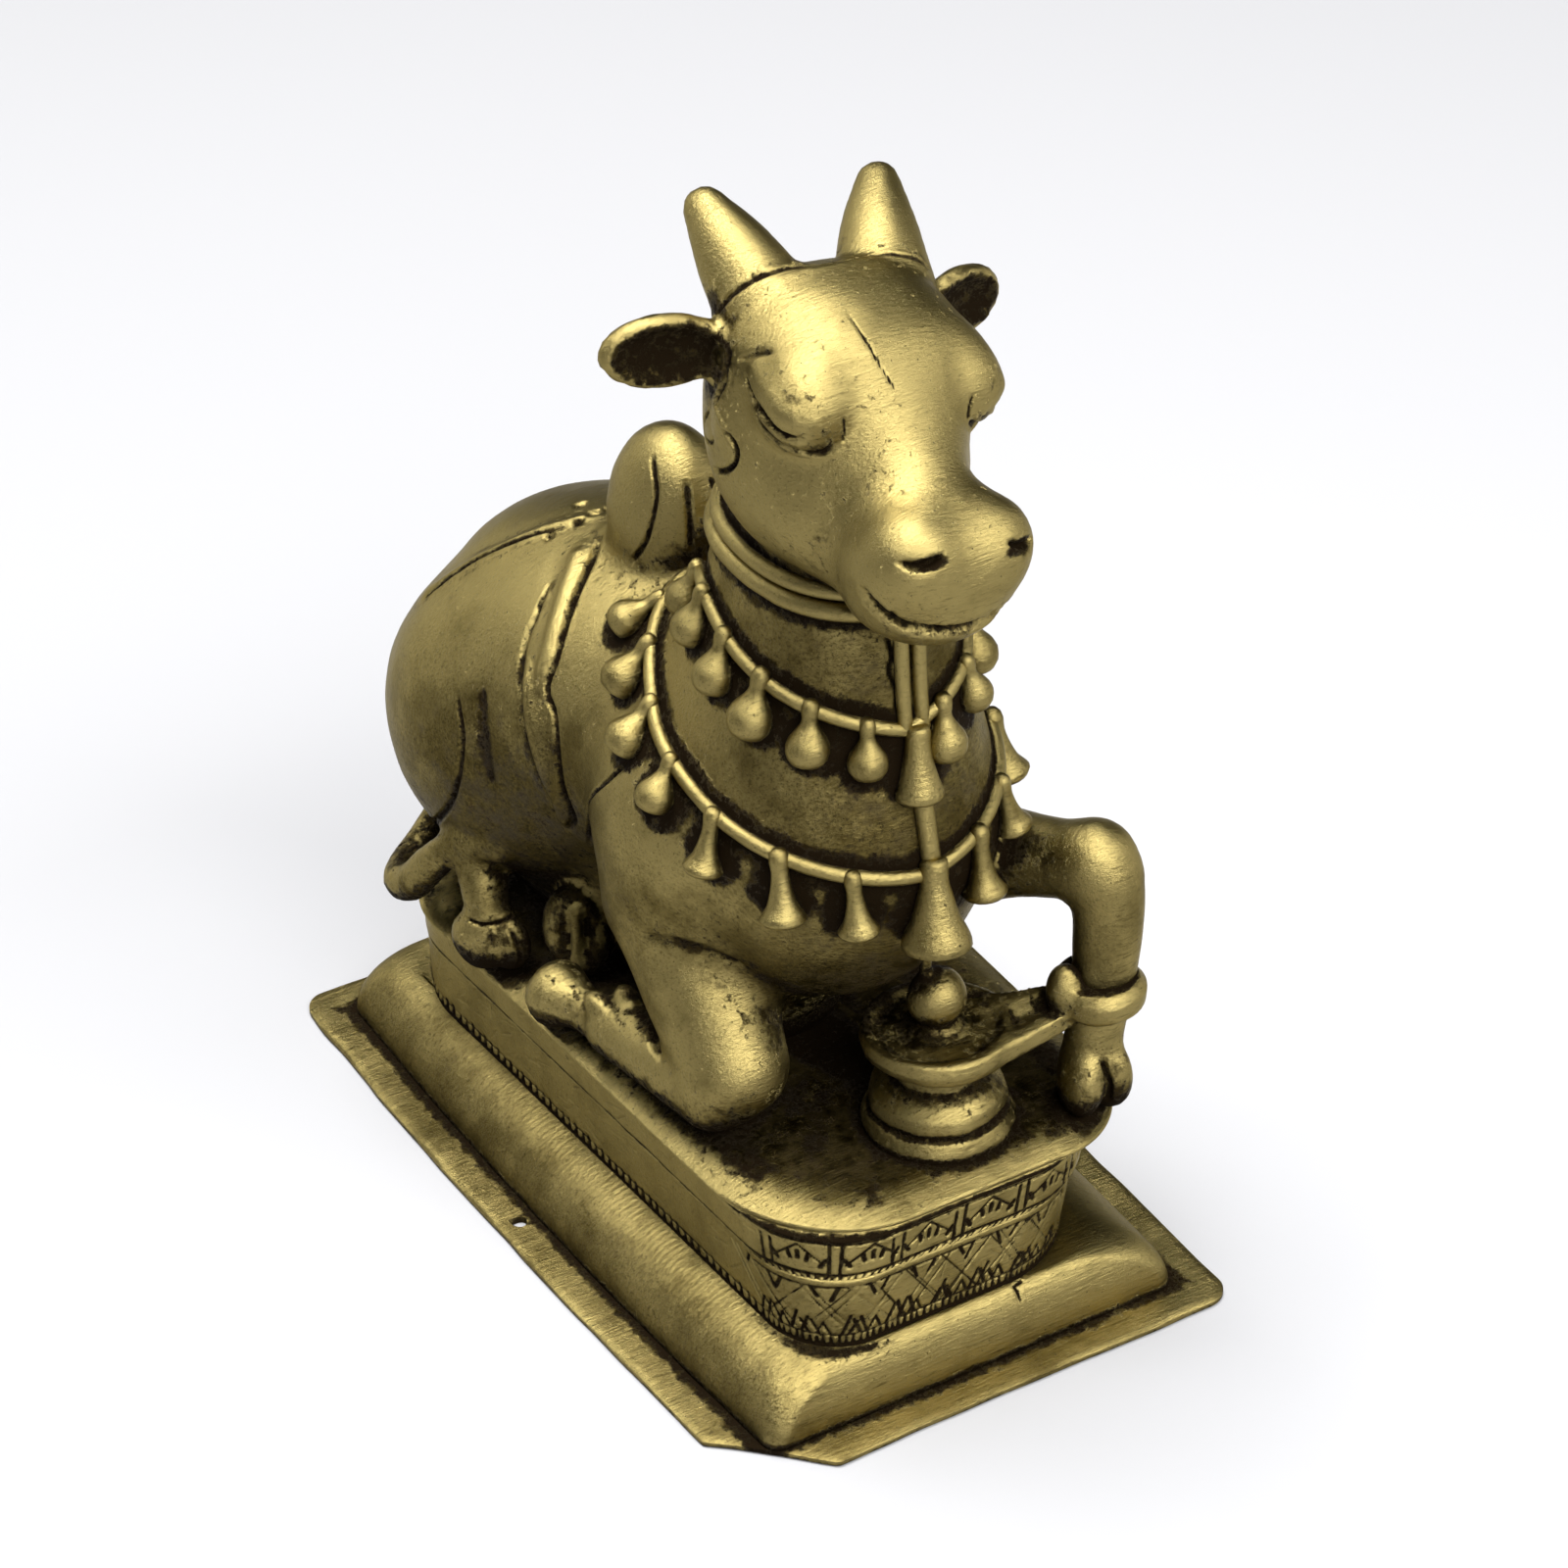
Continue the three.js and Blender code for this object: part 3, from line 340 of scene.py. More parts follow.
def cheek_drop(side):
    """A flat drop hung on the cheek under the ear."""
    return ellipsoid((side * 14.3, -2.4, -1.4), (1.6, 2.6, 4.4), (-6, 0, 0))


HEAD = placed(head(), HEAD_AT, HEAD_TURN)
print("the head fits in a ball of radius, mm:", round(HEAD.reach, 1))

# %% [markdown]
# ## The body and the legs
# The bull kneels. Its trunk is one heavy mass with the neck rising from it, and the haunches and the
# right foreleg melt into it over a wide seam. Hooves, tail and toes are joined over narrow seams, so they
# stay crisp. The casting sinks a little into the plate, so that no thin gap is left under it.

# %% The body and the legs
SUNK = 1.6


def trunk():
    return blend(
        12,
        ellipsoid((-0.9, 31, 31.8), (25.8, 26.6, 26.2)),
        ellipsoid((0, 9, 39.5), (22, 26, 21)),
        ellipsoid((0, -18, 38), (20, 24, 24)),
        limb((0, -4, 6), (0, 34, 6), 12, 14),
        limb((1, -12, 44), (2, -17, 84), 15.5, 10.5),
        limb((1, -24, 44), (1, -29, 80), 17.5, 11),
    )


def hump():
    egg = ellipsoid((0.2, 15, 64.4), (7.8, 9.9, 13.6), (6, 0, 0))
    return blend(1.5, egg, ellipsoid((0, 13, 54), (8.4, 10.4, 8)))


def haunch(side):
    return ellipsoid((side * 15, 35, 27), (14.5, 21, 19), (10, 0, 0))


def hind_legs():
    hock = spine(
        ((-20, 34, 17), 5.2), ((-23.4, 29, 15.6), 4), ((-24.9, 25.2, 11), 3.3), ((-25.3, 23.4, 7.6), 3.1),
    )
    hoof = blend(
        0.6,
        ellipsoid((-24.6, 20.9, 3.6), (2.5, 4.2, 4.4), (-18, 0, 24)),
        ellipsoid((-27.2, 22.9, 3.6), (2.5, 4.2, 4.4), (-18, 0, 24)),
    )
    shank = limb((-6, 20, 9), (-15, 16.5, 7), 6, 4.2)
    far = spine(((24, 34, 14), 6), ((25, 22, 8), 4.6), ((24, 10, 5), 4.4))
    return blend(1.2, hock, hoof, blend(1.2, upturned_sole(), shank), far)


def upturned_sole():
    """The tucked hoof, whose oval sole faces out with a raised rim and a ridge along its middle."""
    turn = (-14, -10, -34)
    block = ellipsoid((-17, 14, 6.4), (4.7, 3.4, 6.6), turn)
    dish = ellipsoid((-19, 10.9, 7.2), (3.7, 1.9, 5.4), turn)
    ridge = limb((-18.4, 11.5, 2.6), (-18.2, 12.4, 11), 0.9, 0.7)
    return blend(0.4, hollow(0.4, block, dish), ridge)


def tail():
    return spine(
        ((0, 52, 36), 4), ((-3, 53, 22), 3.4), ((-13, 50, 11), 3), ((-22, 46, 5), 3), ((-28, 42.5, 3), 3),
        ((-29, 38, 5), 2.6), ((-28, 33, 11), 2.4), ((-26, 28, 16), 2.2), ((-24, 22, 17.6), 1.8),
    )


def right_foreleg():
    upper = ellipsoid((-15, -12, 36), (11, 13, 17))
    forearm = limb((-15.6, -12, 26), (-17.2, -26, 9.8), 9.4, 7.4)
    cannon = limb((-19.4, -25.6, 6.4), (-22.8, -6.5, 5.6), 5.6, 4.2)
    pastern = limb((-22.8, -6, 5), (-24, 1, 4.4), 3.2, 2.6)
    flare = limb((-23.6, 0, 4.8), (-25, 5, 4.6), 2.4, 4.6)
    hoof = hollow(0.5, flare, ellipsoid((-26.4, 12.4, 4.6), (6, 5.6, 7), (0, 0, 12)))
    claws = (ellipsoid((-24.8, -4.6, 8.9), (1.5, 2.2, 1.8)), ellipsoid((-21.6, -7, 10.2), (1.5, 2, 1.6)))
    leg = blend(1.6, blend(4, upper, forearm), blend(1.2, cannon, pastern))
    return blend(0.9, leg, hoof, *claws)


def left_foreleg():
    arm = spine(
        ((12, -10, 34), 12), ((16, -20, 28), 8.4), ((21.6, -33, 31.5), 5.6), ((26, -43.6, 34.6), 4.9),
    )
    shin = spine(
        ((26.4, -44, 34.8), 4.9), ((27, -45.6, 31), 4.7), ((26.6, -45.6, 19), 4.2), ((25.2, -46, 11), 3.4),
    )
    pastern = limb((25.2, -46, 12), (24.2, -46.2, 7), 3.4, 3.9)
    toes = blend(
        0.5,
        ellipsoid((22.1, -47.2, 4), (2.9, 4.2, 5.2), (12, 5, -14)),
        ellipsoid((25.9, -47.4, 4.2), (2.8, 4.2, 5.6), (12, -4, 8)),
    )
    return blend(1.5, blend(2.5, arm, shin), blend(1.2, pastern, toes))


def bull():
    body = blend(5, trunk(), haunch(-1), haunch(1), right_foreleg())
    limbs = blend(1.6, blend(2.5, body, hump()), hind_legs(), tail(), left_foreleg())
    return blend(2.5, limbs, HEAD)


BULL = bull()
BROW = np.array([[0.0, -30.0, 115.0]])
print("distance from the brow's middle to the skin, mm:", BULL.distance(BROW).round(2))

# %% [markdown]
# ## From a field to a mesh
# Marching cubes needs a table of cases. A surface net needs none: each cell that the surface crosses gets
# one point, and each grid edge that changes sign gets one quad between its four cells. The field is read
# only in blocks that the surface can reach, which saves nearly all of the time.

# %% Surface nets
BLOCK = 4
BLOCK_REACH = 1.6


def sampled(form, low, counts, cell):
    """The field on a grid. Blocks that the surface can't reach keep the value at their middle."""
    blocks = [math.ceil(count / BLOCK) for count in counts]
    middles = np.stack(np.meshgrid(*(np.arange(n) for n in blocks), indexing="ij"), -1).reshape(-1, 3)
    coarse = form.distance(low + (middles + 0.5) * BLOCK * cell).reshape(blocks)
    values = coarse
    for axis in range(3):
        values = np.repeat(values, BLOCK, axis=axis)
    values = values[: counts[0], : counts[1], : counts[2]].copy()
    near = np.argwhere(np.abs(values) < BLOCK_REACH * BLOCK * cell)
    values[tuple(near.T)] = form.distance(low + near * cell)
    return values


def surface_net(form, low, high, cell):
    low = np.array(low, float)
    counts = np.ceil((np.array(high) - low) / cell).astype(int) + 1
    values = sampled(form, low, counts, cell)
    inside = values < 0
    total = sum(
        inside[a : counts[0] - 1 + a, b : counts[1] - 1 + b, c : counts[2] - 1 + c].astype(int)
        for a, b, c in product((0, 1), repeat=3)
    )
    where = np.argwhere((total > 0) & (total < 8))
    number = np.full(counts, -1)
    number[tuple(where.T)] = np.arange(len(where))
    sums = np.zeros((len(where), 3))
    hits = np.zeros(len(where))
    for axis, (u, v) in product(range(3), product((0, 1), repeat=2)):
        start = np.insert([u, v], axis, 0)
        step = np.eye(3, dtype=int)[axis]
        va = values[tuple((where + start).T)]
        vb = values[tuple((where + start + step).T)]
        crossed = (va < 0) != (vb < 0)
        share = np.where(crossed, va / np.where(crossed, va - vb, 1), 0)
        sums += crossed[:, None] * (start + share[:, None] * step)
        hits += crossed
    points = low + (where + sums / hits[:, None]) * cell
    return points, np.concatenate([net_quads(inside, number, axis) for axis in range(3)])


def net_quads(inside, number, axis):
    """One quad round each grid edge along an axis that changes sign, facing out."""
    a, b = (axis + 1) % 3, (axis + 2) % 3
    along, ea, eb = np.eye(3, dtype=int)[[axis, a, b]]
    first = np.take(inside, range(inside.shape[axis] - 1), axis=axis)
    second = np.take(inside, range(1, inside.shape[axis]), axis=axis)
    edges = np.argwhere(first != second)
    outward = inside[tuple(edges.T)]
    cells = [number[tuple((edges - shift).T)] for shift in (0 * along, ea, ea + eb, eb)]
    quads = np.stack(cells, axis=1)
    quads[~outward] = quads[~outward][:, ::-1]
    return quads


def triangles_of(points, quads):
    """Each quad is cut along its shorter diagonal."""
    p = points[quads]
    first = np.linalg.norm(p[:, 0] - p[:, 2], axis=1) < np.linalg.norm(p[:, 1] - p[:, 3], axis=1)
    a, b, c, d = quads.T
    one = np.where(first[:, None], np.stack([a, b, c], 1), np.stack([a, b, d], 1))
    two = np.where(first[:, None], np.stack([a, c, d], 1), np.stack([b, c, d], 1))
    return np.concatenate([one, two])


test_quads = surface_net(test_ball, (-12, -12, -12), (12, 12, 12), 1.0)[1]
print("quads on a ball of 10 mm with cells of 1 mm:", len(test_quads))

# %% [markdown]
# ## Settling and splitting
# The net's points lie near the surface, not on it. Each is pushed along the field's slope onto the true
# surface. Edges near fine carving are then split, so that detail has small triangles and the calm flanks
# have large ones. A Subdivision modifier would split all of them alike.

# %% Settling and splitting
def slope(form, p, step=0.05):
    """The outward direction of the field at each point."""
    shifts = np.eye(3) * step
    g = np.stack([form.distance(p + shift) - form.distance(p - shift) for shift in shifts], axis=1)
    return g / np.maximum(np.linalg.norm(g, axis=1), 1e-9)[:, None]


def settled(form, p, passes=2, step=0.05):
    """Puts every point on the field's surface."""
    for _ in range(passes):
        d = form.distance(p)
        g = np.stack([form.distance(p + shift) - d for shift in np.eye(3) * step], axis=1) / step
        steepness = np.maximum((g * g).sum(axis=1), 0.25)
        p = p - g * (d / steepness)[:, None]
    return p


def refined(points, triangles, wanted):
    """Splits each edge that is longer than wanted at its middle, and every triangle to match."""
    sides = [triangles[:, ends] for ends in ([0, 1], [1, 2], [2, 0])]
    pairs = np.sort(np.concatenate(sides), axis=1)
    keys, index = np.unique(pairs[:, 0] * len(points) + pairs[:, 1], return_inverse=True)
    ends = np.stack([keys // len(points), keys % len(points)], axis=1)
    middle = points[ends].mean(axis=1)
    length = np.linalg.norm(points[ends[:, 0]] - points[ends[:, 1]], axis=1)
    split = length > wanted(middle)
    new = np.full(len(keys), -1)
    new[split] = len(points) + np.arange(split.sum())
    cuts = new[index].reshape(3, -1).T
    kept = [triangles[(cuts < 0).all(axis=1)]]
    for turn in range(3):
        a, b, c = np.roll(triangles, -turn, axis=1).T
        ab, bc, ca = np.roll(cuts, -turn, axis=1).T
        one = (ab >= 0) & (bc < 0) & (ca < 0)
        kept += [np.stack(t, 1)[one] for t in ((a, ab, c), (ab, b, c))]
        two = (ab >= 0) & (bc >= 0) & (ca < 0)
        kept += [np.stack(t, 1)[two] for t in ((ab, b, bc), (a, ab, bc), (a, bc, c))]
    a, b, c = triangles.T
    ab, bc, ca = cuts.T
    three = (cuts >= 0).all(axis=1)
    kept += [np.stack(t, 1)[three] for t in ((a, ab, ca), (ab, b, bc), (ca, bc, c), (ab, bc, ca))]
    return np.concatenate([points, middle[split]]), np.concatenate(kept)


test_points = settled(test_ball, np.array([[11.0, 0, 0], [0, 9.0, 0]]))
from_middle = np.linalg.norm(test_points, axis=1)
print("settled points lie this far from the ball's middle, mm:", from_middle.round(2))

# %% [markdown]
# ## Carved lines
# A chisel cut the eyelids, the mouth, the cloth's folds and the ornaments in the wax. Each stroke
# here is a smooth curve laid on the skin, and it moves the skin's points in or out by a small section:
# a groove has steep sides and a slight burr, a welt is round. Strokes are real geometry, not bump.

# %% Strokes
# The dirt in a groove: its strength, and its spread as a share of the groove's width.
SHARP_STAIN = (0.9, 0.42)
SOFT_STAIN = (0.55, 0.55)
BESIDE_WELT = 0.3


class Stroke:
    """A line on the skin. Its height above the skin is negative for a groove. The burr is the share of a
    groove's depth that stands up beside it, and swell makes the line narrow at both ends."""

    def __init__(self, points, width, height, burr=0.14, swell=0.0):
        self.points = np.array(points, float)
        self.width = width
        self.height = height
        self.burr = burr
        self.swell = swell


def distance_to_path(p, path):
    """The distance from each point to a run of straight pieces, and the share along it."""
    best = np.full(len(p), 1e9)
    share = np.zeros(len(p))
    for n, (a, b) in enumerate(zip(path, path[1:])):
        axis = b - a
        t = np.clip((p - a) @ axis / max(axis @ axis, 1e-12), 0, 1)
        d = np.linalg.norm(p - a - t[:, None] * axis, axis=1)
        closer = d < best
        best[closer] = d[closer]
        share[closer] = (n + t[closer]) / max(1, len(path) - 1)
    return best, share


def section(d, width, height, burr):
    """A stroke's section: a groove with a small burr beside it, or a round welt."""
    x = d / (width / 2)
    if height > 0:
        return height * np.exp(-(x**2) * 1.2)
    if burr == 0:
        return height * np.exp(-(x**2) * 1.6)
    return height * (np.clip(1 - x, 0, 1) ** 0.8 - burr * np.exp(-(((x - 1.35) / 0.35) ** 2)))


def carve(points, normals, strokes):
    """Moves the points by every stroke, and gives each point's share of dirt from the grooves."""
    move = np.zeros(len(points))
    dirt = np.zeros(len(points))
    for stroke in strokes:
        low = stroke.points.min(axis=0) - 2.5 * stroke.width
        high = stroke.points.max(axis=0) + 2.5 * stroke.width
        close = np.flatnonzero(((points > low) & (points < high)).all(axis=1))
        if len(close) == 0:
            continue
        d, share = distance_to_path(points[close], stroke.points)
        ends = np.clip(np.minimum(share, 1 - share) * 8 + 0.35, 0, 1)
        width = stroke.width * (1 - stroke.swell * (1 - np.sin(math.pi * share)))
        move[close] += section(d, width, stroke.height, stroke.burr) * ends
        if stroke.height < 0:
            strength, spread = SHARP_STAIN if stroke.burr else SOFT_STAIN
            stain = strength * np.exp(-((d / (spread * width)) ** 2)) * ends
        else:
            stain = BESIDE_WELT * np.exp(-(((d - 0.75 * width) / (0.35 * width)) ** 2))
        dirt[close] = np.maximum(dirt[close], stain)
    return points + normals * move[:, None], dirt


def laid(form, stops, *shape):
    """A stroke laid on a form's skin."""
    return Stroke(settled(form, smooth_path(stops), 4), *shape)


groove = section(np.arange(0, 0.8, 0.2), 1, -1, 0.14)
print("a groove 1 mm wide and deep, from its middle out:", groove.round(2))

# %% [markdown]
# ## The lines on the head
# The closed eyes are two lids cut under a swollen brow, with a crease at each corner. A ridge runs across
# the crown in front of the horns, and a drop hangs under each ear. Each line is set out once, on the
# bull's right side, as (stops, width, height, burr, swell), and crosses to the other side by a mirror in
# the head's own axes.

# %% The lines on the head
def across(stops):
    """The same stops on the head's other side."""
    axes = turning(HEAD_TURN)
    local = (np.array(stops, float) - HEAD_AT) @ axes
    return (local * [-1, 1, 1]) @ axes.T + HEAD_AT


SOFT = (0, 0.6)
MOUTH = [
    (-12.3, -51.8, 91.2), (-11.4, -53.2, 89.4), (-9.2, -54.6, 87.6), (-4.9, -56.3, 86.2), (-0.5, -57, 85.6),
]
UPPER_LID = [
    (-13.7, -29.6, 110.7), (-14.3, -31.7, 109.8), (-14.7, -33.6, 109.3), (-14.7, -35.4, 108.9),
    (-14.4, -37, 108), (-13.8, -38.1, 107.6), (-12.6, -39.2, 107.5),
]
LOWER_LID = [
    (-14.6, -32.5, 109.2), (-14.8, -33.9, 107.9), (-14.6, -35.1, 106.8), (-14.2, -36.4, 106.2),
    (-13.5, -37.5, 105.8), (-12.3, -38.6, 105.4), (-10.8, -39.4, 105.2), (-9.3, -40.3, 105.8),
]
EYE_LINES = [
    (UPPER_LID, 0.9, -0.5),
    (LOWER_LID, 1.2, -0.8),
    (np.add(UPPER_LID, [0.5, 0, 1.7]), 3.2, 0.4),
    (np.add(UPPER_LID, [0.1, -0.3, -1])[2:], 0.9, 0.25),
    ([(-8.8, -40, 109), (-8.4, -40.4, 107.5), (-8.5, -40.7, 106.1)], 0.5, -0.3),
    ([(-13.1, -27.5, 111.7), (-12.6, -28.9, 112.6), (-12.1, -30.3, 113.4), (-11.7, -31.9, 113.9)],
     1.1, -0.55, *SOFT),
]
CHEEK_LINES = [
    ([(-13.2, -25.7, 111.8), (-14, -25.9, 109.8), (-14.6, -25.9, 108), (-15.3, -25.1, 105.6)], 1.1, -0.7),
    ([(-15.3, -25.2, 105.5), (-15.5, -26.7, 104.3), (-15.6, -28.2, 103.1)], 0.8, 0.35),
    ([(-15.6, -27.6, 103.4), (-15.7, -29.2, 101.8), (-15.8, -29.6, 100.7), (-16.2, -28.9, 99),
      (-16.3, -26.8, 97.2), (-16, -24.5, 96.2)], 1, -0.75),
    ([(-15.6, -22.8, 103.3), (-15.4, -21.2, 101.1), (-15.3, -21, 99.5), (-15.7, -22.4, 99.2),
      (-16.1, -24.1, 99.8), (-16.1, -24.8, 100.9)], 0.55, -0.4),
]
NOSTRIL = [(-10.2, -56, 97.5), (-8.9, -57.1, 97.2), (-7.4, -57.7, 97.3), (-5.6, -58, 97.9)]
CROWN = [
    (-13.6, -21.4, 113.4), (-10.6, -23.3, 117.5), (-5.7, -24.1, 118.6), (0.7, -24.6, 118.3),
    (8.2, -23.6, 116.1), (13.5, -24.4, 113.4),
]


def face_strokes():
    lip = np.concatenate([MOUTH, across(MOUTH)[::-1][1:]]) + [0, -0.2, 0.9]
    behind_crown = np.array(CROWN) + [0, 0.9, 0.3]
    lines = [(lip, 2.4, -1.6, 0.05), (behind_crown, 0.9, -0.35), (np.array(CROWN), 2.2, 0.3)]
    nostril = [(NOSTRIL, 2.2, -0.5, *SOFT), (NOSTRIL, 1.5, -1.0, 0.02, 0.5)]
    for stops, *shape in EYE_LINES + CHEEK_LINES + nostril:
        lines += [(stops, *shape), (across(stops), *shape)]
    return [laid(BULL, stops, *shape) for stops, *shape in lines]


FACE_STROKES = face_strokes()
print("strokes on the head:", len(FACE_STROKES))

# %% [markdown]
# ## The lines on the body
# A cloth with a folded edge lies over the back and hangs down the flank behind the hump, with a flower of
# small pits on top. Creases mark the haunch, the shoulder and the legs. These are set out in the same
# way, and mirrored about the bull's middle. A few cracks, and the toes' clefts, are on one side only.

# %% The lines on the body
CLOTH_LINES = [
    ([(-6.6, 22, 59.6), (-10, 18.9, 58.4), (-14.2, 15.9, 56.2), (-18.8, 12.2, 51.6), (-21.1, 11.2, 47.7),
      (-21.6, 8.6, 45.4), (-22.3, 7, 41.9), (-22, 6.2, 36), (-21, 5.9, 31.1), (-20.4, 8.6, 27)],
     1.2, -0.85, 0.05),
    ([(-8.8, 23, 59.2), (-12.2, 20, 57.6), (-15.6, 17, 55.2), (-19.4, 13.8, 51), (-21.4, 12.6, 47.6)],
     3, 0.75),
    ([(-14.6, 21.6, 56), (-18, 19.6, 53), (-20.4, 18.4, 50), (-22.8, 15.3, 44.6), (-23.5, 11.9, 38.6),
      (-22.4, 9.2, 32.7), (-20.2, 9.4, 26.5)], 1.6, -0.55, *SOFT),
    ([(-20.8, 16, 49), (-22.9, 12.4, 43.6), (-23.2, 9.6, 38.6), (-22.3, 7.8, 33), (-20.6, 8.4, 28)],
     3.8, 0.85, *SOFT),
    ([(-22, 47, 44), (-17.5, 40.6, 48.3), (-12.1, 34.1, 53.3), (-8, 30.4, 56.8), (-4, 27.6, 59)], 2.2, 0.5),
    ([(-22, 45, 44.6), (-16.6, 38.8, 49.6), (-11.4, 32.6, 54.6), (-7.6, 28.8, 57.6)], 0.7, -0.4),
]
FLOWER_PITS = [
    (-6.2, 28.4, 59.4), (-3.7, 28.9, 59.8), (-1.5, 28.4, 60.1), (-10.1, 29.5, 57.9), (-3.4, 33, 59.2),
]
PIT_RUN = [[-0.9, -0.3, 0], [0, 0, 0], [0.9, 0.3, 0]]
BODY_LINES = [
    ([(-25.4, 27, 40), (-26.7, 24.3, 34.7), (-28, 25.6, 25.9), (-27.6, 32, 18), (-25.6, 40, 12)],
     1.2, -0.55),
    ([(-23.3, 22.9, 42.6), (-25.2, 20.8, 36), (-25.4, 19.2, 30.1)], 3.2, -0.5, *SOFT),
    ([(-22.5, -11.5, 49.4), (-24.1, -7.8, 44.9), (-22.4, -1, 37), (-18.4, 6.6, 25.4)], 0.9, -0.5),
    ([(-24.8, -17.5, 27.5), (-21.2, -22.4, 27.5), (-15.9, -27.9, 25.8)], 2.6, -0.5, *SOFT),
    ([(-22.6, -5, 17), (-23.6, -11, 14), (-24, -16, 11.4), (-24, -20, 9.4)], 2.2, -0.9, *SOFT),
]
HUMP_LINES = [
    ([(-4, 12.3, 76.2), (-5.4, 9.4, 72), (-6.6, 9.8, 66), (-7.2, 12.6, 61.4)], 0.9, -0.5),
    ([(-1.5, 8, 73.4), (-2, 6.5, 69), (-2.2, 6.3, 65)], 1.1, -0.55),
]
SINGLE_LINES = [
    ([(-25.2, 17.6, 7.4), (-24.6, 16.8, 4.6), (-24.4, 16.6, 1)], 0.8, -0.7),
    ([(23.6, -50.6, 8.6), (23.9, -51.9, 4.6), (24, -51.6, 1)], 0.9, -1),
    ([(-22.4, 21.8, 7.8), (-24.2, 20, 7.6), (-27.4, 20.8, 7.4), (-28.6, 23.4, 7.4)], 0.7, -0.5),
    ([(-1.8, -39.8, 76), (-1.2, -40, 73), (-1.7, -40, 71), (-0.7, -40.3, 68), (-0.9, -40.4, 66),
      (0.2, -40.8, 63.1)], 0.8, -0.6, 0.05),
    ([(-2.8, -33.6, 117.4), (-2.8, -36.6, 115.7), (-2.5, -38.9, 113.7), (-1.4, -41.6, 110.4)], 0.4, -0.12),
]


def flipped(stops):
    return np.array(stops, float) * [-1, 1, 1]


def body_strokes():
    lines = list(SINGLE_LINES)
    for stops, *shape in CLOTH_LINES + BODY_LINES + HUMP_LINES:
        lines += [(stops, *shape), (flipped(stops), *shape)]
    for pit in FLOWER_PITS:
        run = np.add(pit, PIT_RUN)
        lines += [(run, 1.7, -0.6, *SOFT), (flipped(run), 1.7, -0.6, *SOFT)]
    return [laid(BULL, stops, *shape) for stops, *shape in lines]


STROKES = FACE_STROKES + body_strokes()
print("strokes:", len(STROKES), "longest path:", max(len(stroke.points) for stroke in STROKES))

# %% [markdown]
# ## The bull's skin
# The net is made at a coarse cell. Edges are then split twice where a stroke passes, and the new points
# are settled on the field again. To know where a stroke passes, space is cut into cubes, and only the
# points in a cube with a stroke in or beside it are measured. Measuring all of them would take minutes.

# %% The bull's skin
CELL = 1.05
NET_BOX = ((-37, -64, -3), (37, 64, 128))
FINE_EDGE, COARSE_EDGE = 0.42, 9
SPLIT_REACH = 1.5
CUBE, CUBES_A_ROW = 3.0, 4096
FAR = 9.0
POINTS_AT_ONCE = 2000


def near_strokes(strokes):
    """How far the nearest stroke is, for choosing where to split."""
    marks = np.concatenate([stroke.points[::2] for stroke in strokes])
    keys = {tuple(key) for key in np.floor(marks / CUBE).astype(int)}
    grown = {tuple(np.array(key) + shift) for key in keys for shift in product((-1, 0, 1), repeat=3)}
    grown = np.array(sorted(grown))

    def close(p):
        code = lambda q: (q[:, 0] * CUBES_A_ROW + q[:, 1]) * CUBES_A_ROW + q[:, 2]
        return np.isin(code(np.floor(p / CUBE).astype(int)), code(grown))

    def distance(p):
        out = np.full(len(p), FAR)
        chosen = np.flatnonzero(close(p))
        for start in range(0, len(chosen), POINTS_AT_ONCE):
            part = chosen[start : start + POINTS_AT_ONCE]
            gaps = np.linalg.norm(p[part][:, None] - marks[None], axis=2)
            out[part] = gaps.min(axis=1)
        return out

    return distance


def make_skin(field, strokes):
    """The points and triangles of a field's surface, fine near the strokes."""
    solid = above(-SUNK, field)
    points, quads = surface_net(solid, *NET_BOX, CELL)
    triangles = triangles_of(points, quads)
    points = settled(solid, points, 3)
    close = near_strokes(strokes)

    def wanted(p):
        return np.where(close(p) < SPLIT_REACH, FINE_EDGE, COARSE_EDGE)

    for _ in range(2):
        points, triangles = refined(points, triangles, wanted)
        points = settled(solid, points, 2)
    return points, triangles


BULL_SKIN, BULL_TRIANGLES = make_skin(BULL, STROKES)
print("the bull's skin:", len(BULL_SKIN), "points,", len(BULL_TRIANGLES), "triangles")

# %% [markdown]
# ## Dirt, painted shade and wear
# Dirt stays where hands and polish never reach, and shade falls in the same places. The Ambient Occlusion
# node could find those places, but only for the renderer. Here the field finds them, and a number on each
# point keeps them with the mesh: it is read a few steps outwards, and where the surface comes closer than
# the step, the place is a crevice. Its darkening is dirt and painted shade together. Read inwards, the same
# way finds thin rims, which are rubbed bright.

# %% Dirt, painted shade and wear
PLATE_TOP = 28.0
ON_PLATE = np.array([0, 0, PLATE_TOP])
PLATE = Form(lambda p: p[:, 2], (0, 0, -500), 500)
# How far out the field is read, in mm, and what each step adds to the dirt and painted shade.
OCCLUSION_STEPS = ((0.9, 0.3), (2.2, 0.35), (5, 0.3), (11, 0.2))
RUB_DEPTH = 1.4


def occlusion_dirt_and_shade(form, points, normals):
    """Ambient occlusion, kept as dirt and painted shade: 0 in the open, towards 1 where
    other surfaces stand close all round.
    """
    shade = np.zeros(len(points))
    for reach, weight in OCCLUSION_STEPS:
        gap = form.distance(points + normals * reach)
        shade += weight * np.clip(1 - gap / reach, 0, 1)
    return np.clip(shade, 0, 1)


def value_noise(p, size, seed):
    """Smooth random lumps between 0 and 1, the same on every run."""
    q = p / size
    cell = np.floor(q).astype(int)
    t = q - cell
    t = t * t * (3 - 2 * t)
    total = np.zeros(len(p))
    for corner in product((0, 1), repeat=3):
        weight = np.prod(np.where(np.array(corner) == 1, t, 1 - t), axis=1)
        k = ((cell + corner) * [73856093, 19349663, 83492791]).sum(axis=1) + seed * 7919
        k = (k ^ (k >> 13)) * 1274126177 & 0x7FFFFFFF
        total += weight * (((k ^ (k >> 16)) & 0xFFFF) / 65535)
    return total


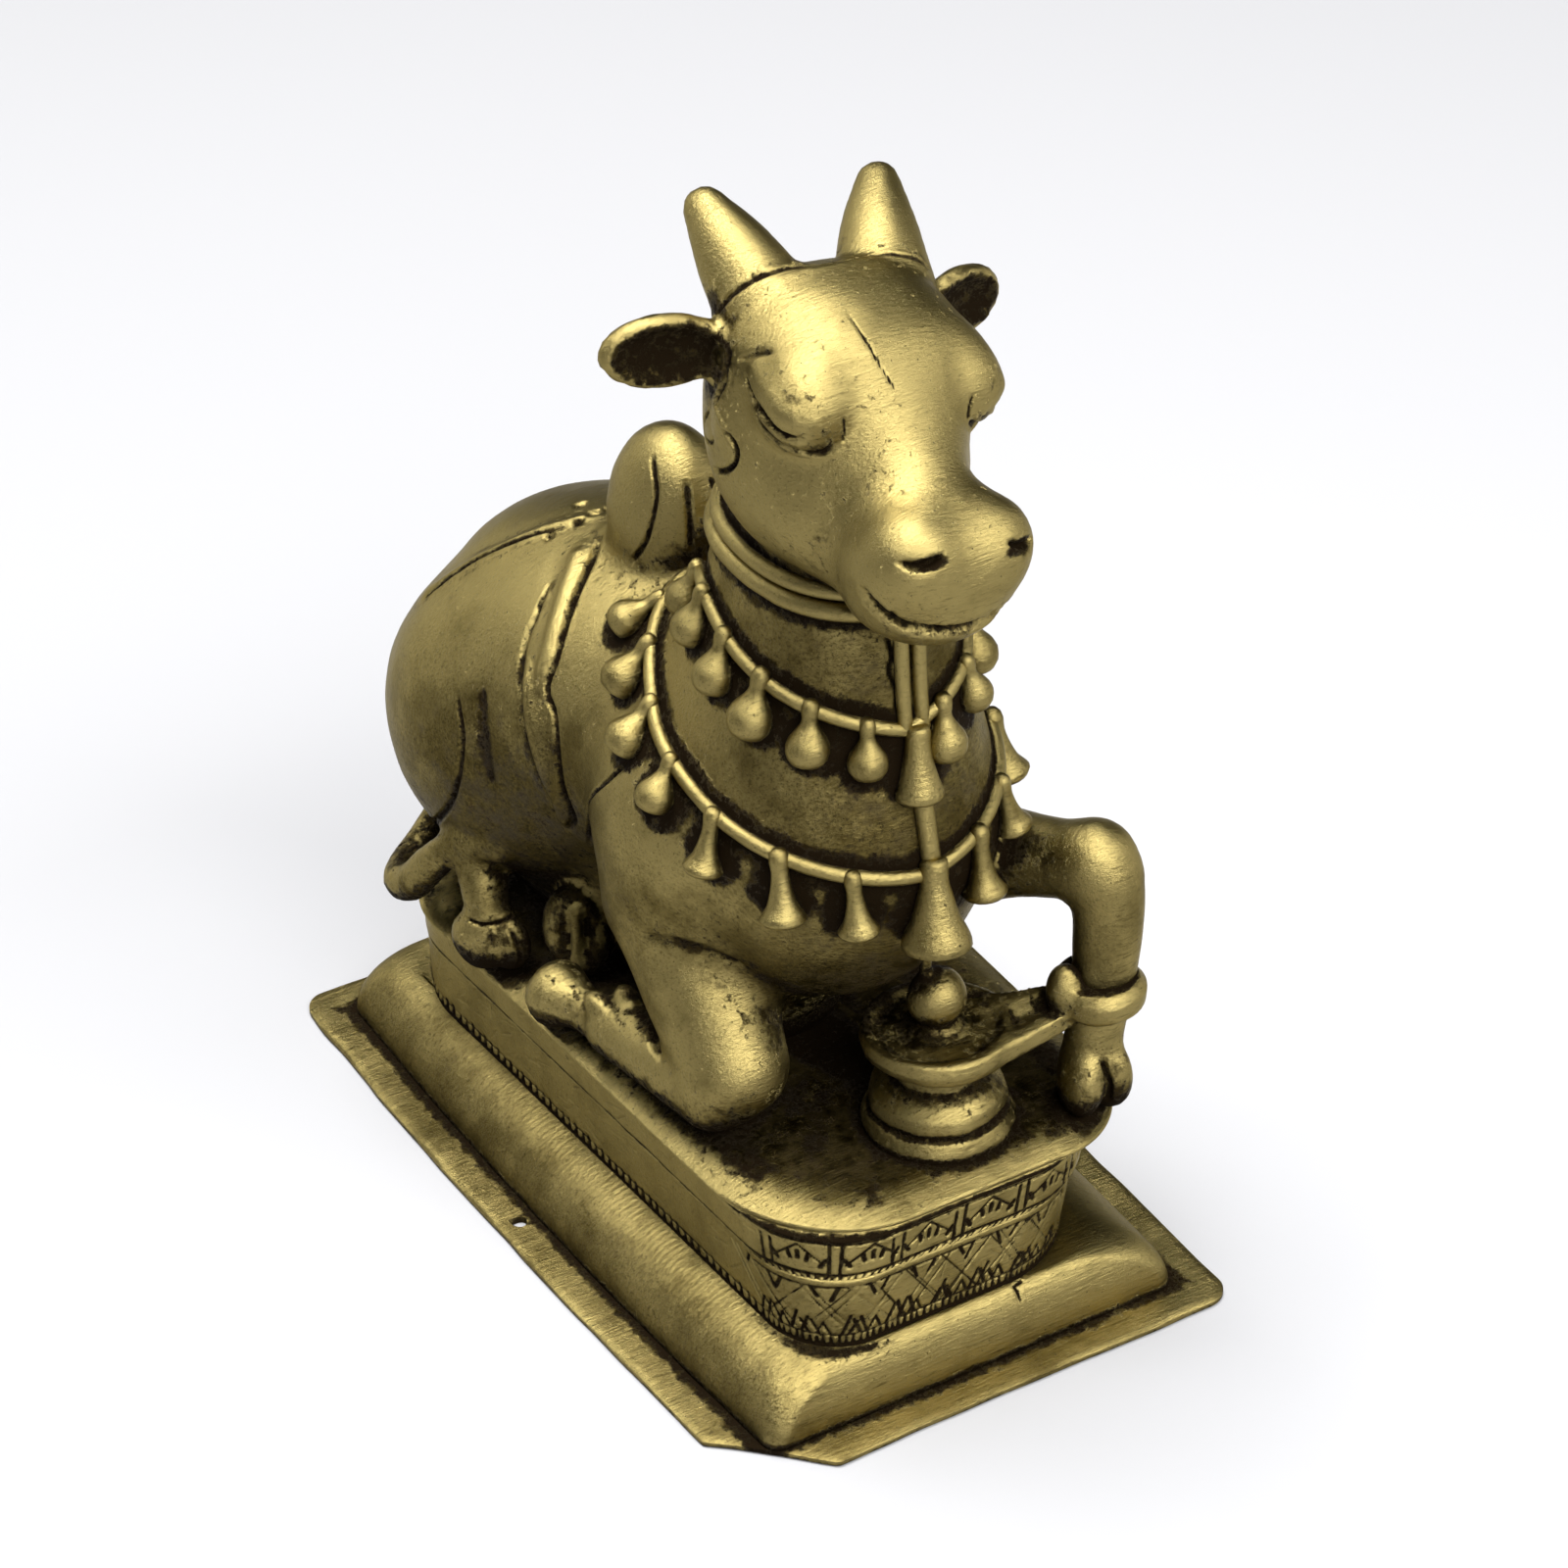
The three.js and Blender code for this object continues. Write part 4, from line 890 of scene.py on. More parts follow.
def rubbed(form, points, normals):
    """1 on thin rims and sharp edges, where hands polish the metal, and 0 on broad skin."""
    return np.clip((form.distance(points - normals * RUB_DEPTH) / RUB_DEPTH + 0.93) * 2.5, 0, 1)


BULL_NORMALS = slope(BULL, BULL_SKIN)
# The bull's crevices and the skin near the plate darken: dirt and painted shade together.
BULL_OCCLUSION_DIRT_AND_SHADE = occlusion_dirt_and_shade(blend(0.5, BULL, PLATE), BULL_SKIN, BULL_NORMALS)
print("share of the skin in crevices:", round(float((BULL_OCCLUSION_DIRT_AND_SHADE > 0.5).mean()), 3))

# %% [markdown]
# ## Where the garlands lie
# Two strings of drops and bells cross the chest, and a collar goes round the throat. They were laid on the
# wax as rolled threads. A place on the body is an angle about the neck's axis and a height: going out
# from the axis until the skin is reached gives the point.

# %% Places on the body
NECK_AXIS = np.array([0.0, -12.0])
DRESSED = blend(5, trunk(), right_foreleg(), left_foreleg())


def on_body(form, angles, heights):
    turn = np.radians(angles)
    direction = np.stack([-np.sin(turn), -np.cos(turn)], axis=1)
    reach = np.full(len(turn), 2.0)
    for _ in range(60):
        places = np.column_stack([NECK_AXIS + direction * reach[:, None], heights])
        reach = reach - 0.8 * form.distance(places)
    return places


def upper_height(angle):
    return 62.7 + 9.4 * np.abs(np.sin(np.radians(angle)))


def lower_height(angle):
    return 43.4 + 18 * np.sin(np.radians(np.abs(angle)) / 2) ** 1.25


UPPER_DROPS = [10, 23, 37, 54, 80, 115]
LOWER_DROPS = [72, 95, 124, 150]
LOWER_BELLS = [16, 32, 51]
COLLAR_HEIGHTS = (82.4, 80)
CORDS = [
    (upper_height, 0.95),
    (lower_height, 1.0),
    (lambda a: COLLAR_HEIGHTS[0] + 0 * a, 1.1),
    (lambda a: COLLAR_HEIGHTS[1] + 0 * a, 1.3),
]
MIDDLE = -2
UPPER_BELL_HEIGHT, LOWER_BELL_HEIGHT = 62.4, 44.6
# Straps down the chest: turn about the neck from the middle, heights, radius.
STRAPS = [
    (-2.4, [79, 73, 68, UPPER_BELL_HEIGHT], 1.0),
    (2.4, [79, 73, 68, UPPER_BELL_HEIGHT], 1.0),
    (0, [53.5, 50, 47, LOWER_BELL_HEIGHT], 1.3),
]
# Profiles of what hangs, each a run of (radius, length down the skin).
DROP = [(0, -2.6), (0.9, -2.3), (1.2, -1), (1, 0.3), (1.5, 1.4), (2.55, 3), (2.8, 4.4), (2.1, 6), (0, 6.6)]
BELL = [
    (0, -2.4), (1, -2.1), (1.3, -0.8), (1.1, 0.6), (1.25, 2.4), (1.7, 4.4), (2.2, 5.6), (2.95, 6.7),
    (2.6, 7.3), (0, 7.2),
]
UPPER_BELL = [(0, -1), (1.5, -0.6), (1.6, 1.6), (2, 4.4), (2.6, 6.6), (3.1, 8.1), (2.6, 8.9), (0, 8.8)]
LOWER_BELL = [(0, -1), (1.7, -0.6), (1.8, 2.2), (2.3, 4.4), (3, 7), (4.3, 10), (4, 11), (0, 11)]


def both_sides(angles):
    return np.array([side * angle for side in (-1, 1) for angle in angles], float)


def below_cord(angles, height):
    """Places on the skin 1 mm below a cord, at the same angles on both sides."""
    turns = both_sides(angles)
    return on_body(DRESSED, turns, height(turns) - 1)


def in_middle(height):
    return on_body(DRESSED, np.array([MIDDLE]), np.array([height]))


DROP_PLACES = np.concatenate([below_cord(UPPER_DROPS, upper_height), below_cord(LOWER_DROPS, lower_height)])
HANGING = {
    "drops": (DROP, DROP_PLACES),
    "bells": (BELL, below_cord(LOWER_BELLS, lower_height)),
    "upper_bell": (UPPER_BELL, in_middle(UPPER_BELL_HEIGHT)),
    "lower_bell": (LOWER_BELL, in_middle(LOWER_BELL_HEIGHT)),
}


def cord_path(height, radius, steps=180):
    angles = -180 + 360 * np.arange(steps) / steps
    path = on_body(DRESSED, angles, height(angles))
    return path + slope(DRESSED, path) * 0.35 * radius


def strap_path(aside, heights, radius):
    path = on_body(DRESSED, np.full(len(heights), MIDDLE + aside), np.array(heights, float))
    return smooth_path(path + slope(DRESSED, path) * 0.3 * radius)


def hanging_axes(places):
    """The outward, downward and sideways directions of a pendant that hangs down the skin."""
    out = slope(DRESSED, places, 0.3)
    down = np.array([0, 0, -1.0]) + out * out[:, 2:3]
    down /= np.linalg.norm(down, axis=1)[:, None]
    return out, down, np.cross(out, down)


def covered():
    """The garlands as one plain field, for the dirt that gathers round them."""
    forms = []
    for height, radius in CORDS:
        path = cord_path(height, radius, 60)
        forms += [limb(a, b, radius, radius) for a, b in zip(path, np.roll(path, -1, axis=0))]
    for profile, places in HANGING.values():
        down = hanging_axes(places)[1]
        length = profile[-1][1]
        width = max(radius for radius, _ in profile)
        forms += [limb(p, p + d * (length - width), 1.2, width) for p, d in zip(places, down)]
    return blend(0.5, *forms)


GARLAND_FIELD = covered()
print("pendants:", sum(len(places) for _, places in HANGING.values()))

# %% [markdown]
# ## The bull's mesh
# The skin is carved, and made to waver a little, as wax does under the fingers. Its dirt is darkest in
# crevices, round the garlands, in the ears and in every cut. Painted shade lies with it in the crevices,
# on faces that look down, close above the plate and between the legs. An oily film lies on what is seldom
# wiped, and painted shade on faces that look down or aside is added to the film. Both are written on the
# points as numbers, and the brass material reads them. Painting them by hand would look as good, but it
# couldn't be made again by a script.

# %% Make the bull
# Film is thickest on the chest and the low flanks, which no hand rubs: (centre, radii, strength).
FILM = [
    ((0, -40, 52), (24, 22, 22), 0.34),
    ((0, -34, 72), (20, 20, 12), 0.32),
    ((0, -26, 26), (15, 22, 12), 0.5),
    ((-26, 14, 28), (14, 30, 20), 0.32),
    ((26, 18, 26), (16, 42, 26), 0.45),
    ((0, 60, 30), (34, 16, 34), 0.35),
    ((-4, -22, 84), (18, 20, 9), 0.3),
]
# Soot and painted shade lie between the legs, behind the neck, under the throat and under the tail, in
# the same form.
SOOT_AND_SHADE = [
    ((-10, 22, 7), (12, 22, 13), 1.0),
    ((-9, 6, 8), (11, 14, 16), 0.9),
    ((0, -20, 14), (15, 16, 10), 0.8),
    ((14, -8, 10), (14, 40, 12), 0.8),
    ((-6, -2, 62), (13, 9, 12), 0.6),
    ((-9, -22, 79), (9, 14, 3.6), 0.7),
    ((-27, 42, 6), (4.5, 6, 6), 0.7),
    ((8, -30, 24), (12, 12, 10), 0.7),
]
NOSTRIL_SOOT = ((2.6, 1.6, 0.8), 1.3)
# The skin's wavering: lump size in mm, seed, height in mm.
WAVERING = ((8, 3, 0.32), (2.6, 4, 0.1))
GARLAND_STAIN, EAR_STAIN = 2.2, 0.7
LEAST_FILM = 0.05


def gathered(points, places):
    """How strongly each point lies in soft balls, each (centre, radii, strength)."""
    most = np.zeros(len(points))
    for centre, radii, strength in places:
        far = np.linalg.norm((points - centre) / np.array(radii, float), axis=1)
        most = np.maximum(most, strength * np.clip(1.35 - far, 0, 1))
    return most


def bull_film_and_shade(skin, normals):
    """Film, and painted shade on faces that look down or aside, more of it lower down."""
    painted_shade_aside = np.clip(0.75 - normals[:, 2], 0, 1) * np.clip(1.25 - skin[:, 2] / 100, 0, 1)
    return LEAST_FILM + gathered(skin, FILM) + 0.25 * painted_shade_aside


def bull_dirt_and_shade(skin, carved, normals, cut_dirt):
    """Each point's dirt and painted shade, from its place on the plain skin and its place once it is carved.
    """
    # Painted shade: darker on faces that look down and close above the plate.
    painted_shade_below = 0.3 * np.clip(-normals[:, 2], 0, 1) + 0.2 * np.clip(1 - carved[:, 2] / 24, 0, 1)
    near_garland = np.clip(1.2 - GARLAND_FIELD.distance(skin) / GARLAND_STAIN, 0, 1)
    unreached_dirt_and_shade = np.maximum.reduce([BULL_OCCLUSION_DIRT_AND_SHADE + painted_shade_below, near_garland, 0.85 * gathered(carved, SOOT_AND_SHADE)])
    unreached_dirt_and_shade *= 1 - rubbed(BULL, skin, normals)
    nostrils = [(place, *NOSTRIL_SOOT) for place in (NOSTRIL[2], across(NOSTRIL)[2])]
    bowls = blend(0.1, *(placed(ear_bowl(side), HEAD_AT, HEAD_TURN) for side in (-1, 1)))
    in_ears = 0.75 * np.clip(1.2 - np.abs(bowls.distance(skin)) / EAR_STAIN, 0, 1)
    in_cuts = cut_dirt * (0.6 + 0.7 * value_noise(carved, 2.2, 6))
    return np.maximum.reduce([unreached_dirt_and_shade, gathered(carved, nostrils), in_ears, in_cuts])


def write_number(mesh, key, values):
    """Writes one number on each point of a mesh."""
    data = mesh.attributes.new(key, "FLOAT", "POINT").data
    data.foreach_set("value", np.ravel(values).astype(np.float32))


def make_object(name, points, faces, **numbers):
    """A mesh object in metres, shaded smooth, with its numbers written on the points."""
    mesh = bpy.data.meshes.new(name)
    mesh.from_pydata((points * MM).tolist(), [], faces)
    mesh.shade_smooth()
    for key, values in numbers.items():
        write_number(mesh, key, values)
    return put_in_scene(name, mesh)


def make_bull():
    carved, cut_dirt = carve(BULL_SKIN, BULL_NORMALS, STROKES)
    waver = sum(height * (value_noise(carved, size, seed) - 0.5) for size, seed, height in WAVERING)
    carved += BULL_NORMALS * waver[:, None]
    dirt = bull_dirt_and_shade(BULL_SKIN, carved, BULL_NORMALS, cut_dirt)
    # The film number also carries painted shade on the faces that look down or aside.
    film = bull_film_and_shade(BULL_SKIN, BULL_NORMALS)
    return make_object("bull", carved + ON_PLATE, BULL_TRIANGLES.tolist(), dirt=dirt, patina=film)


bull_piece = make_bull()
print("bull:", len(bull_piece.data.polygons), "triangles")

# %% [markdown]
# ## Threads and pendants with Geometry Nodes
# A thread follows a path, and the pendants repeat one shape, so both are made by node trees. The thread's
# tree gives a curve a round section whose radius wavers a little, because a finger rolled it. The
# pendants' tree puts one turned shape on every point, with a size that varies within a few percent.

# %% Node helpers
def add(tree, kind, inputs=None, **settings):
    """Adds a node with its settings, and gives its inputs a value or a link from another node."""
    node = tree.nodes.new(kind)
    for name, value in settings.items():
        setattr(node, name, value)
    for key, value in (inputs or {}).items():
        if isinstance(value, bpy.types.NodeSocket):
            tree.links.new(value, node.inputs[key])
        else:
            node.inputs[key].default_value = value
    return node


def new_tree(name, sizes):
    """A geometry tree with a geometry input, named size inputs and a geometry output."""
    tree = bpy.data.node_groups.new(name, "GeometryNodeTree")
    tree.interface.new_socket("Geometry", in_out="INPUT", socket_type="NodeSocketGeometry")
    tree.interface.new_socket("Geometry", in_out="OUTPUT", socket_type="NodeSocketGeometry")
    for label, value in sizes.items():
        kind = {float: "NodeSocketFloat", int: "NodeSocketInt"}.get(type(value), "NodeSocketObject")
        socket = tree.interface.new_socket(label, in_out="INPUT", socket_type=kind)
        if value is not None:
            socket.default_value = value
    return tree, tree.nodes.new("NodeGroupInput"), tree.nodes.new("NodeGroupOutput")


def set_inputs(modifier, **values):
    for socket in modifier.node_group.interface.items_tree:
        if socket.in_out == "INPUT" and socket.name.lower() in values:
            modifier[socket.identifier] = values[socket.name.lower()]


def made_by_nodes(source, tree, name, **values):
    """Runs a tree on an object and keeps the result as a plain mesh object."""
    modifier = source.modifiers.new("nodes", "NODES")
    modifier.node_group = tree
    set_inputs(modifier, **values)
    graph = bpy.context.evaluated_depsgraph_get()
    mesh = bpy.data.meshes.new_from_object(source.evaluated_get(graph))
    mesh.name = name
    bpy.data.objects.remove(source)
    return put_in_scene(name, mesh)


def points_of(mesh):
    """A mesh's points in millimetres."""
    flat = np.empty(3 * len(mesh.vertices))
    mesh.vertices.foreach_get("co", flat)
    return flat.reshape(-1, 3) / MM


def finish_on_body(thing, reach, patina):
    """Gives a thing on the bull its dirt, which gathers where it meets the skin."""
    above_skin = DRESSED.distance(points_of(thing.data) - ON_PLATE)
    write_number(thing.data, "dirt", np.clip(1 - above_skin / reach, 0, 1) ** 1.5)
    write_number(thing.data, "patina", np.full(len(thing.data.vertices), patina))
    thing.data.shade_smooth()


print("the bull's points, read back:", len(points_of(bull_piece.data)))

# %% Thread tree
THREAD_SIZES = {"Radius": 1.15 * MM, "Waver": 0.14, "Waver Size": 3 * MM, "Step": 0.5 * MM}
THREAD_STAIN, PENDANT_STAIN = 0.7, 0.9
THREAD_PATINA, PENDANT_PATINA = 0.1, 0.2


def thread_tree():
    tree, given, result = new_tree("rolled_thread", THREAD_SIZES)
    even = add(tree, "GeometryNodeResampleCurve", {
        "Curve": given.outputs["Geometry"], "Length": given.outputs["Step"]}, mode="LENGTH")
    place = add(tree, "GeometryNodeInputPosition")
    per_size = add(tree, "ShaderNodeMath", {0: 1.0, 1: given.outputs["Waver Size"]}, operation="DIVIDE")
    noise = add(tree, "ShaderNodeTexNoise", {
        "Vector": place.outputs[0], "Scale": per_size.outputs[0], "Detail": 2.0})
    centred = add(tree, "ShaderNodeMath", {0: noise.outputs[0], 1: 0.5}, operation="SUBTRACT")
    wavered = add(tree, "ShaderNodeMath", {
        0: centred.outputs[0], 1: given.outputs["Waver"], 2: 1.0}, operation="MULTIPLY_ADD")
    circle = add(tree, "GeometryNodeCurvePrimitiveCircle", {
        "Resolution": 12, "Radius": given.outputs["Radius"]})
    sized = add(tree, "GeometryNodeSetCurveRadius", {"Curve": even.outputs[0], "Radius": wavered.outputs[0]})
    tube = add(tree, "GeometryNodeCurveToMesh", {
        "Curve": sized.outputs[0], "Profile Curve": circle.outputs[0], "Fill Caps": True})
    if "Scale" in tube.inputs:
        tree.links.new(wavered.outputs[0], tube.inputs["Scale"])
    real = add(tree, "GeometryNodeRealizeInstances", {"Geometry": tube.outputs[0]})
    finish = add(tree, "GeometryNodeSetMaterial", {"Geometry": real.outputs[0], "Material": BRASS})
    tree.links.new(finish.outputs[0], result.inputs[0])
    return tree


def curve_object(path, closed):
    data = bpy.data.curves.new("path", "CURVE")
    data.dimensions = "3D"
    spline = data.splines.new("POLY")
    spline.points.add(len(path) - 1)
    spline.points.foreach_set("co", np.column_stack([path * MM, np.ones(len(path))]).ravel())
    spline.use_cyclic_u = closed
    return put_in_scene("path", data)


BRASS = bpy.data.materials.new("lost_wax_cast_brass")
BRASS.use_nodes = True
THREAD_TREE = thread_tree()
threads = []
for n, (height, radius) in enumerate(CORDS):
    curve = curve_object(cord_path(height, radius) + ON_PLATE, True)
    threads.append(made_by_nodes(curve, THREAD_TREE, f"cord_{n + 1}", radius=radius * MM))
for n, (aside, heights, radius) in enumerate(STRAPS):
    curve = curve_object(strap_path(aside, heights, radius) + ON_PLATE, False)
    threads.append(made_by_nodes(curve, THREAD_TREE, f"strap_{n + 1}", radius=radius * MM))
for thread in threads:
    finish_on_body(thread, THREAD_STAIN, THREAD_PATINA)
print("threads:", [(thread.name, len(thread.data.polygons)) for thread in threads])

# %% [markdown]
# ## The pendants
# Drops hang from both garlands, small bells from the front of the lower one, and a large bell from the
# middle of each. Each kind is one turned shape of a few hundred faces, and the tree puts it on every
# place, turned down the skin and a little askew, because each was set in the wax by hand.

# %% Pendant tree
PENDANT_SIDES, PENDANT_RINGS = 20, 18
ASKEW = 9
STAND_OUT = 0.95


def turned_object(name, profile):
    """A shape turned about Y, which points down the skin when it hangs."""
    rings = PENDANT_RINGS
    smooth = smooth_path([(r, h, 0) for r, h in profile], 0.3)[:, :2]
    smooth = smooth[np.linspace(0, len(smooth) - 1, rings).round().astype(int)]
    turns = 2 * np.pi * np.arange(PENDANT_SIDES) / PENDANT_SIDES
    ring = np.stack([np.cos(turns), 0 * turns, np.sin(turns)], axis=1)
    points = [np.array([[0, smooth[0][1], 0]])]
    points += [ring * max(r, 0) + [0, h, 0] for r, h in smooth[1:-1]]
    points.append(np.array([[0, smooth[-1][1], 0]]))
    faces = []
    last = 1 + (rings - 2) * PENDANT_SIDES
    for m in range(PENDANT_SIDES):
        k = (m + 1) % PENDANT_SIDES
        faces.append((0, 1 + m, 1 + k))
        faces.append((last, last - PENDANT_SIDES + k, last - PENDANT_SIDES + m))
        for row in range(rings - 3):
            a = 1 + row * PENDANT_SIDES
            faces.append((a + m, a + PENDANT_SIDES + m, a + PENDANT_SIDES + k, a + k))
    mesh = bpy.data.meshes.new(name)
    mesh.from_pydata((np.concatenate(points) * MM).tolist(), [], faces)
    mesh.shade_smooth()
    return bpy.data.objects.new(name, mesh)


def pendant_tree():
    tree, given, result = new_tree("hung_pendants", {"Shape": None, "Least": 0.88, "Most": 1.08, "Seed": 4})
    turn = add(tree, "GeometryNodeInputNamedAttribute", {"Name": "turn"}, data_type="FLOAT_VECTOR")
    turned_to = add(tree, "FunctionNodeEulerToRotation", {"Euler": turn.outputs[0]})
    size = add(tree, "FunctionNodeRandomValue", data_type="FLOAT")
    low, high = [socket for socket in size.inputs if socket.enabled and socket.name in ("Min", "Max")]
    tree.links.new(given.outputs["Least"], low)
    tree.links.new(given.outputs["Most"], high)
    tree.links.new(given.outputs["Seed"], size.inputs["Seed"])
    value = next(socket for socket in size.outputs if socket.enabled)
    shape = add(tree, "GeometryNodeObjectInfo", {"Object": given.outputs["Shape"]})
    hung = add(tree, "GeometryNodeInstanceOnPoints", {
        "Points": given.outputs["Geometry"], "Instance": shape.outputs["Geometry"],
        "Rotation": turned_to.outputs[0], "Scale": value})
    real = add(tree, "GeometryNodeRealizeInstances", {"Geometry": hung.outputs[0]})
    finish = add(tree, "GeometryNodeSetMaterial", {"Geometry": real.outputs[0], "Material": BRASS})
    tree.links.new(finish.outputs[0], result.inputs[0])
    return tree


def places_object(places, axes):
    """A mesh of loose points, each with the turn of what is put there."""
    rng = np.random.default_rng(8)
    mesh = bpy.data.meshes.new("places")
    mesh.from_pydata((places * MM).tolist(), [], [])
    eulers = []
    for trio in zip(*axes):
        askew = Matrix.Rotation(math.radians(rng.uniform(-ASKEW, ASKEW)), 3, "X")
        eulers.append((Matrix(np.column_stack(trio).tolist()) @ askew).to_euler())
    mesh.attributes.new("turn", "FLOAT_VECTOR", "POINT").data.foreach_set("vector", np.ravel(eulers))
    return put_in_scene("places", mesh)


PENDANT_TREE = pendant_tree()
pendants = []
for name, (profile, places) in HANGING.items():
    shape = turned_object(name + "_shape", profile)
    out, down, sideways = hanging_axes(places)
    spots = places_object(places + STAND_OUT * out + ON_PLATE, (out, down, sideways))
    pendants.append(made_by_nodes(spots, PENDANT_TREE, name, shape=shape))
    bpy.data.objects.remove(shape)
for thing in pendants:
    finish_on_body(thing, PENDANT_STAIN, PENDANT_PATINA)
print("pendants:", [(thing.name, len(thing.data.polygons)) for thing in pendants])

# %% [markdown]
# ## The lingam, its dish and the ring on the raised leg
# In front of the bull stands a turned pedestal with a spouted dish and a ball. It was turned or modelled
# round, then joined with a rough strut and a lump of spare metal that the founder never cut away. One
# field holds all of it, so that the parts flow together as cast metal does.

# %% Lingam
LINGAM_AT = np.array([5.5, -39, 0])
STAND = [
    (0, -1), (9.8, -1), (10, 0.8), (9.3, 2.4), (8.4, 2.8), (9, 3.8), (8.7, 5.4), (7.4, 6.8), (5.7, 7.8),
    (5.6, 10.2), (7.4, 11.2), (9.6, 12), (10.1, 13.4), (9.7, 14.9), (8.7, 15), (7.4, 14.2), (4.4, 14.7),
    (3.4, 15.2), (2.8, 15.8), (0, 15.8),
]
RING = [(0, -2.4), (5, -2.4), (6.1, -1.2), (6.2, 1), (5.2, 2.4), (0, 2.4)]


def moved(form, origin):
    return placed(form, origin, (0, 0, 0))


def spout():
    """The dish's channel, wide at the dish and narrow at the ring, with a groove along its top."""
    start = np.array([9, -42, 13.4])
    axis = np.array([22.4, -44.4, 14.8]) - start
    sideways = np.array([0.2, 0.98, 0])

    def distance(p):
        share = np.clip((p - start) @ axis / (axis @ axis), -0.05, 1.05)
        q = p - start - share[:, None] * axis
        side = np.abs(q @ sideways)
        half = 6.2 - 3.2 * share
        rim = side / half
        top = 1.2 - 1.1 * np.clip(1 - rim / 0.6, 0, 1)
        bottom = -1.9 + 0.6 * rim**2
        along = np.abs((p - start - 0.5 * axis) @ axis / np.linalg.norm(axis)) - np.linalg.norm(axis) / 2
        return np.maximum.reduce([side - half, (q[:, 2] - top) * 0.9, (bottom - q[:, 2]) * 0.9, along])

    return Form(distance, start + axis / 2, 12)


def lingam():
    stand = moved(turned(STAND), LINGAM_AT)
    ball = ellipsoid(LINGAM_AT + [0, 0, 19.1], (3.9, 3.9, 3.95))
    strut = limb(LINGAM_AT + [-0.6, 1.6, 21], (2.6, -40.6, 32), 0.9, 0.9)
    ring = moved(turned(RING), (25.4, -46, 16.6))
    lump = ellipsoid((20.9, -45.4, 17.6), (2.7, 2.5, 4))
    return blend(0.8, blend(0.5, stand, spout()), ball, strut, ring, lump)


LINGAM = lingam()
LINGAM_BOX, LINGAM_CELL = ((-8, -56, -2), (34, -26, 34)), 0.45
# Its surface wavers more than the bull's: lump size in mm, seed, height in mm.
LINGAM_WAVER = (3.4, 11, 0.5)
LINGAM_PATINA = 0.18


def make_lingam():
    points, quads = surface_net(LINGAM, *LINGAM_BOX, LINGAM_CELL)
    points = settled(LINGAM, points, 2, 0.02)
    faces = triangles_of(points, quads)
    normals = slope(LINGAM, points, 0.03)
    # Occlusion by the lingam, the plate and the bull, kept as dirt and painted shade.
    dirt = occlusion_dirt_and_shade(blend(0.4, LINGAM, PLATE, BULL), points, normals)
    size, seed, height = LINGAM_WAVER
    points += normals * (height * (value_noise(points, size, seed) - 0.5))[:, None]
    patina = np.full(len(points), LINGAM_PATINA)
    return make_object("lingam", points + ON_PLATE, faces.tolist(), dirt=dirt, patina=patina)


lingam_piece = make_lingam()
print("lingam:", len(lingam_piece.data.polygons), "triangles")

# %% [markdown]
# ## The plinth
# The plinth was built from wax sheets: a flat flange, a rounded moulding, a wall cut with a frieze, and
# the plate with its rolled lip. Each could be a bevelled box, but the wall leans, narrows to the front and
# has a different radius at each corner. So each is a loft: rings of one outline, joined from the bottom to
# the top.

# %% Outlines and lofts
FLANGE_LENGTH, FLANGE_WIDTH, FLANGE_THICKNESS = 125, 73, 1.2
FLANGE_BOW, CUT_CORNER, HOLE_RADIUS = 1.5, 12, 1.1
MOULDING_HALF, MOULDING_HEIGHT, MOULDING_RUN = (30.9, 56.9), 9.0, (6.4, 3.2)
WALL_HALF, WALL_FOOT, WALL_HEIGHT, WALL_TAPER = (26.0, 53.7), 10.0, 15.4, 3
OVERHANG, PLATE_SHIFT, LIP_HEIGHT = (4.5, -1), 2.6, 2.6
FRIEZE_HEIGHT, FRIEZE_STEP = 5, 0.7


def outline(half, radii, bow=0, taper=0, shift=0, spacing=0.5):
    """A closed run of points round a rectangle, anticlockwise from the front right corner."""
    signs = ((-1, -1), (1, -1), (1, 1), (-1, 1))
    arcs = []
    for n, ((sx, sy), radius) in enumerate(zip(signs, radii)):
        turn = math.pi * (1 + n / 2) + np.linspace(0, math.pi / 2, 2 + round(15 / spacing))
        centre = np.array([sx * (half[0] - radius), sy * (half[1] - radius)])
        arcs.append(centre + radius * np.stack([np.cos(turn), np.sin(turn)], axis=1))
    run = []
    for n, arc in enumerate(arcs):
        nearest = arcs[(n + 1) % 4][0]
        steps = round((45, 90)[n % 2] / spacing)
        share = np.arange(1, steps)[:, None] / steps
        run += [arc, arc[-1] + share * (nearest - arc[-1])]
    x, y = np.concatenate(run).T
    swell = bow * (1 - (y / half[1]) ** 2) - taper * (half[1] - y) / (2 * half[1])
    return np.stack([x + x / half[0] * swell + shift, y], axis=1)


def lofted(rings):
    """Rings of equal count joined bottom to top, with flat caps."""
    rings = np.array(rings)
    rows, columns = rings.shape[:2]
    index = np.arange(rows * columns).reshape(rows, columns)
    a, b = index[:-1], np.roll(index[:-1], -1, axis=1)
    c, d = np.roll(index[1:], -1, axis=1), index[1:]
    quads = np.stack([a, b, c, d], axis=-1).reshape(-1, 4).tolist()
    return rings.reshape(-1, 3), quads + [index[0][::-1].tolist(), index[-1].tolist()]


def make_loft(name, rings, **numbers):
    points, faces = lofted(rings)
    print(name, len(faces), "faces")
    return make_object(name, points, faces, **numbers)


print("a plain outline of the wall has", len(outline(WALL_HALF, (10, 19, 17, 17))), "points")

# %% [markdown]
# ## The flange
# The flange is a thin sheet. Its edge wanders, its top isn't quite level, one corner was cut off, and a
# nail made a hole beside one long side. The hole has nothing to do with the outline's rings, so a Boolean
# modifier cuts it.

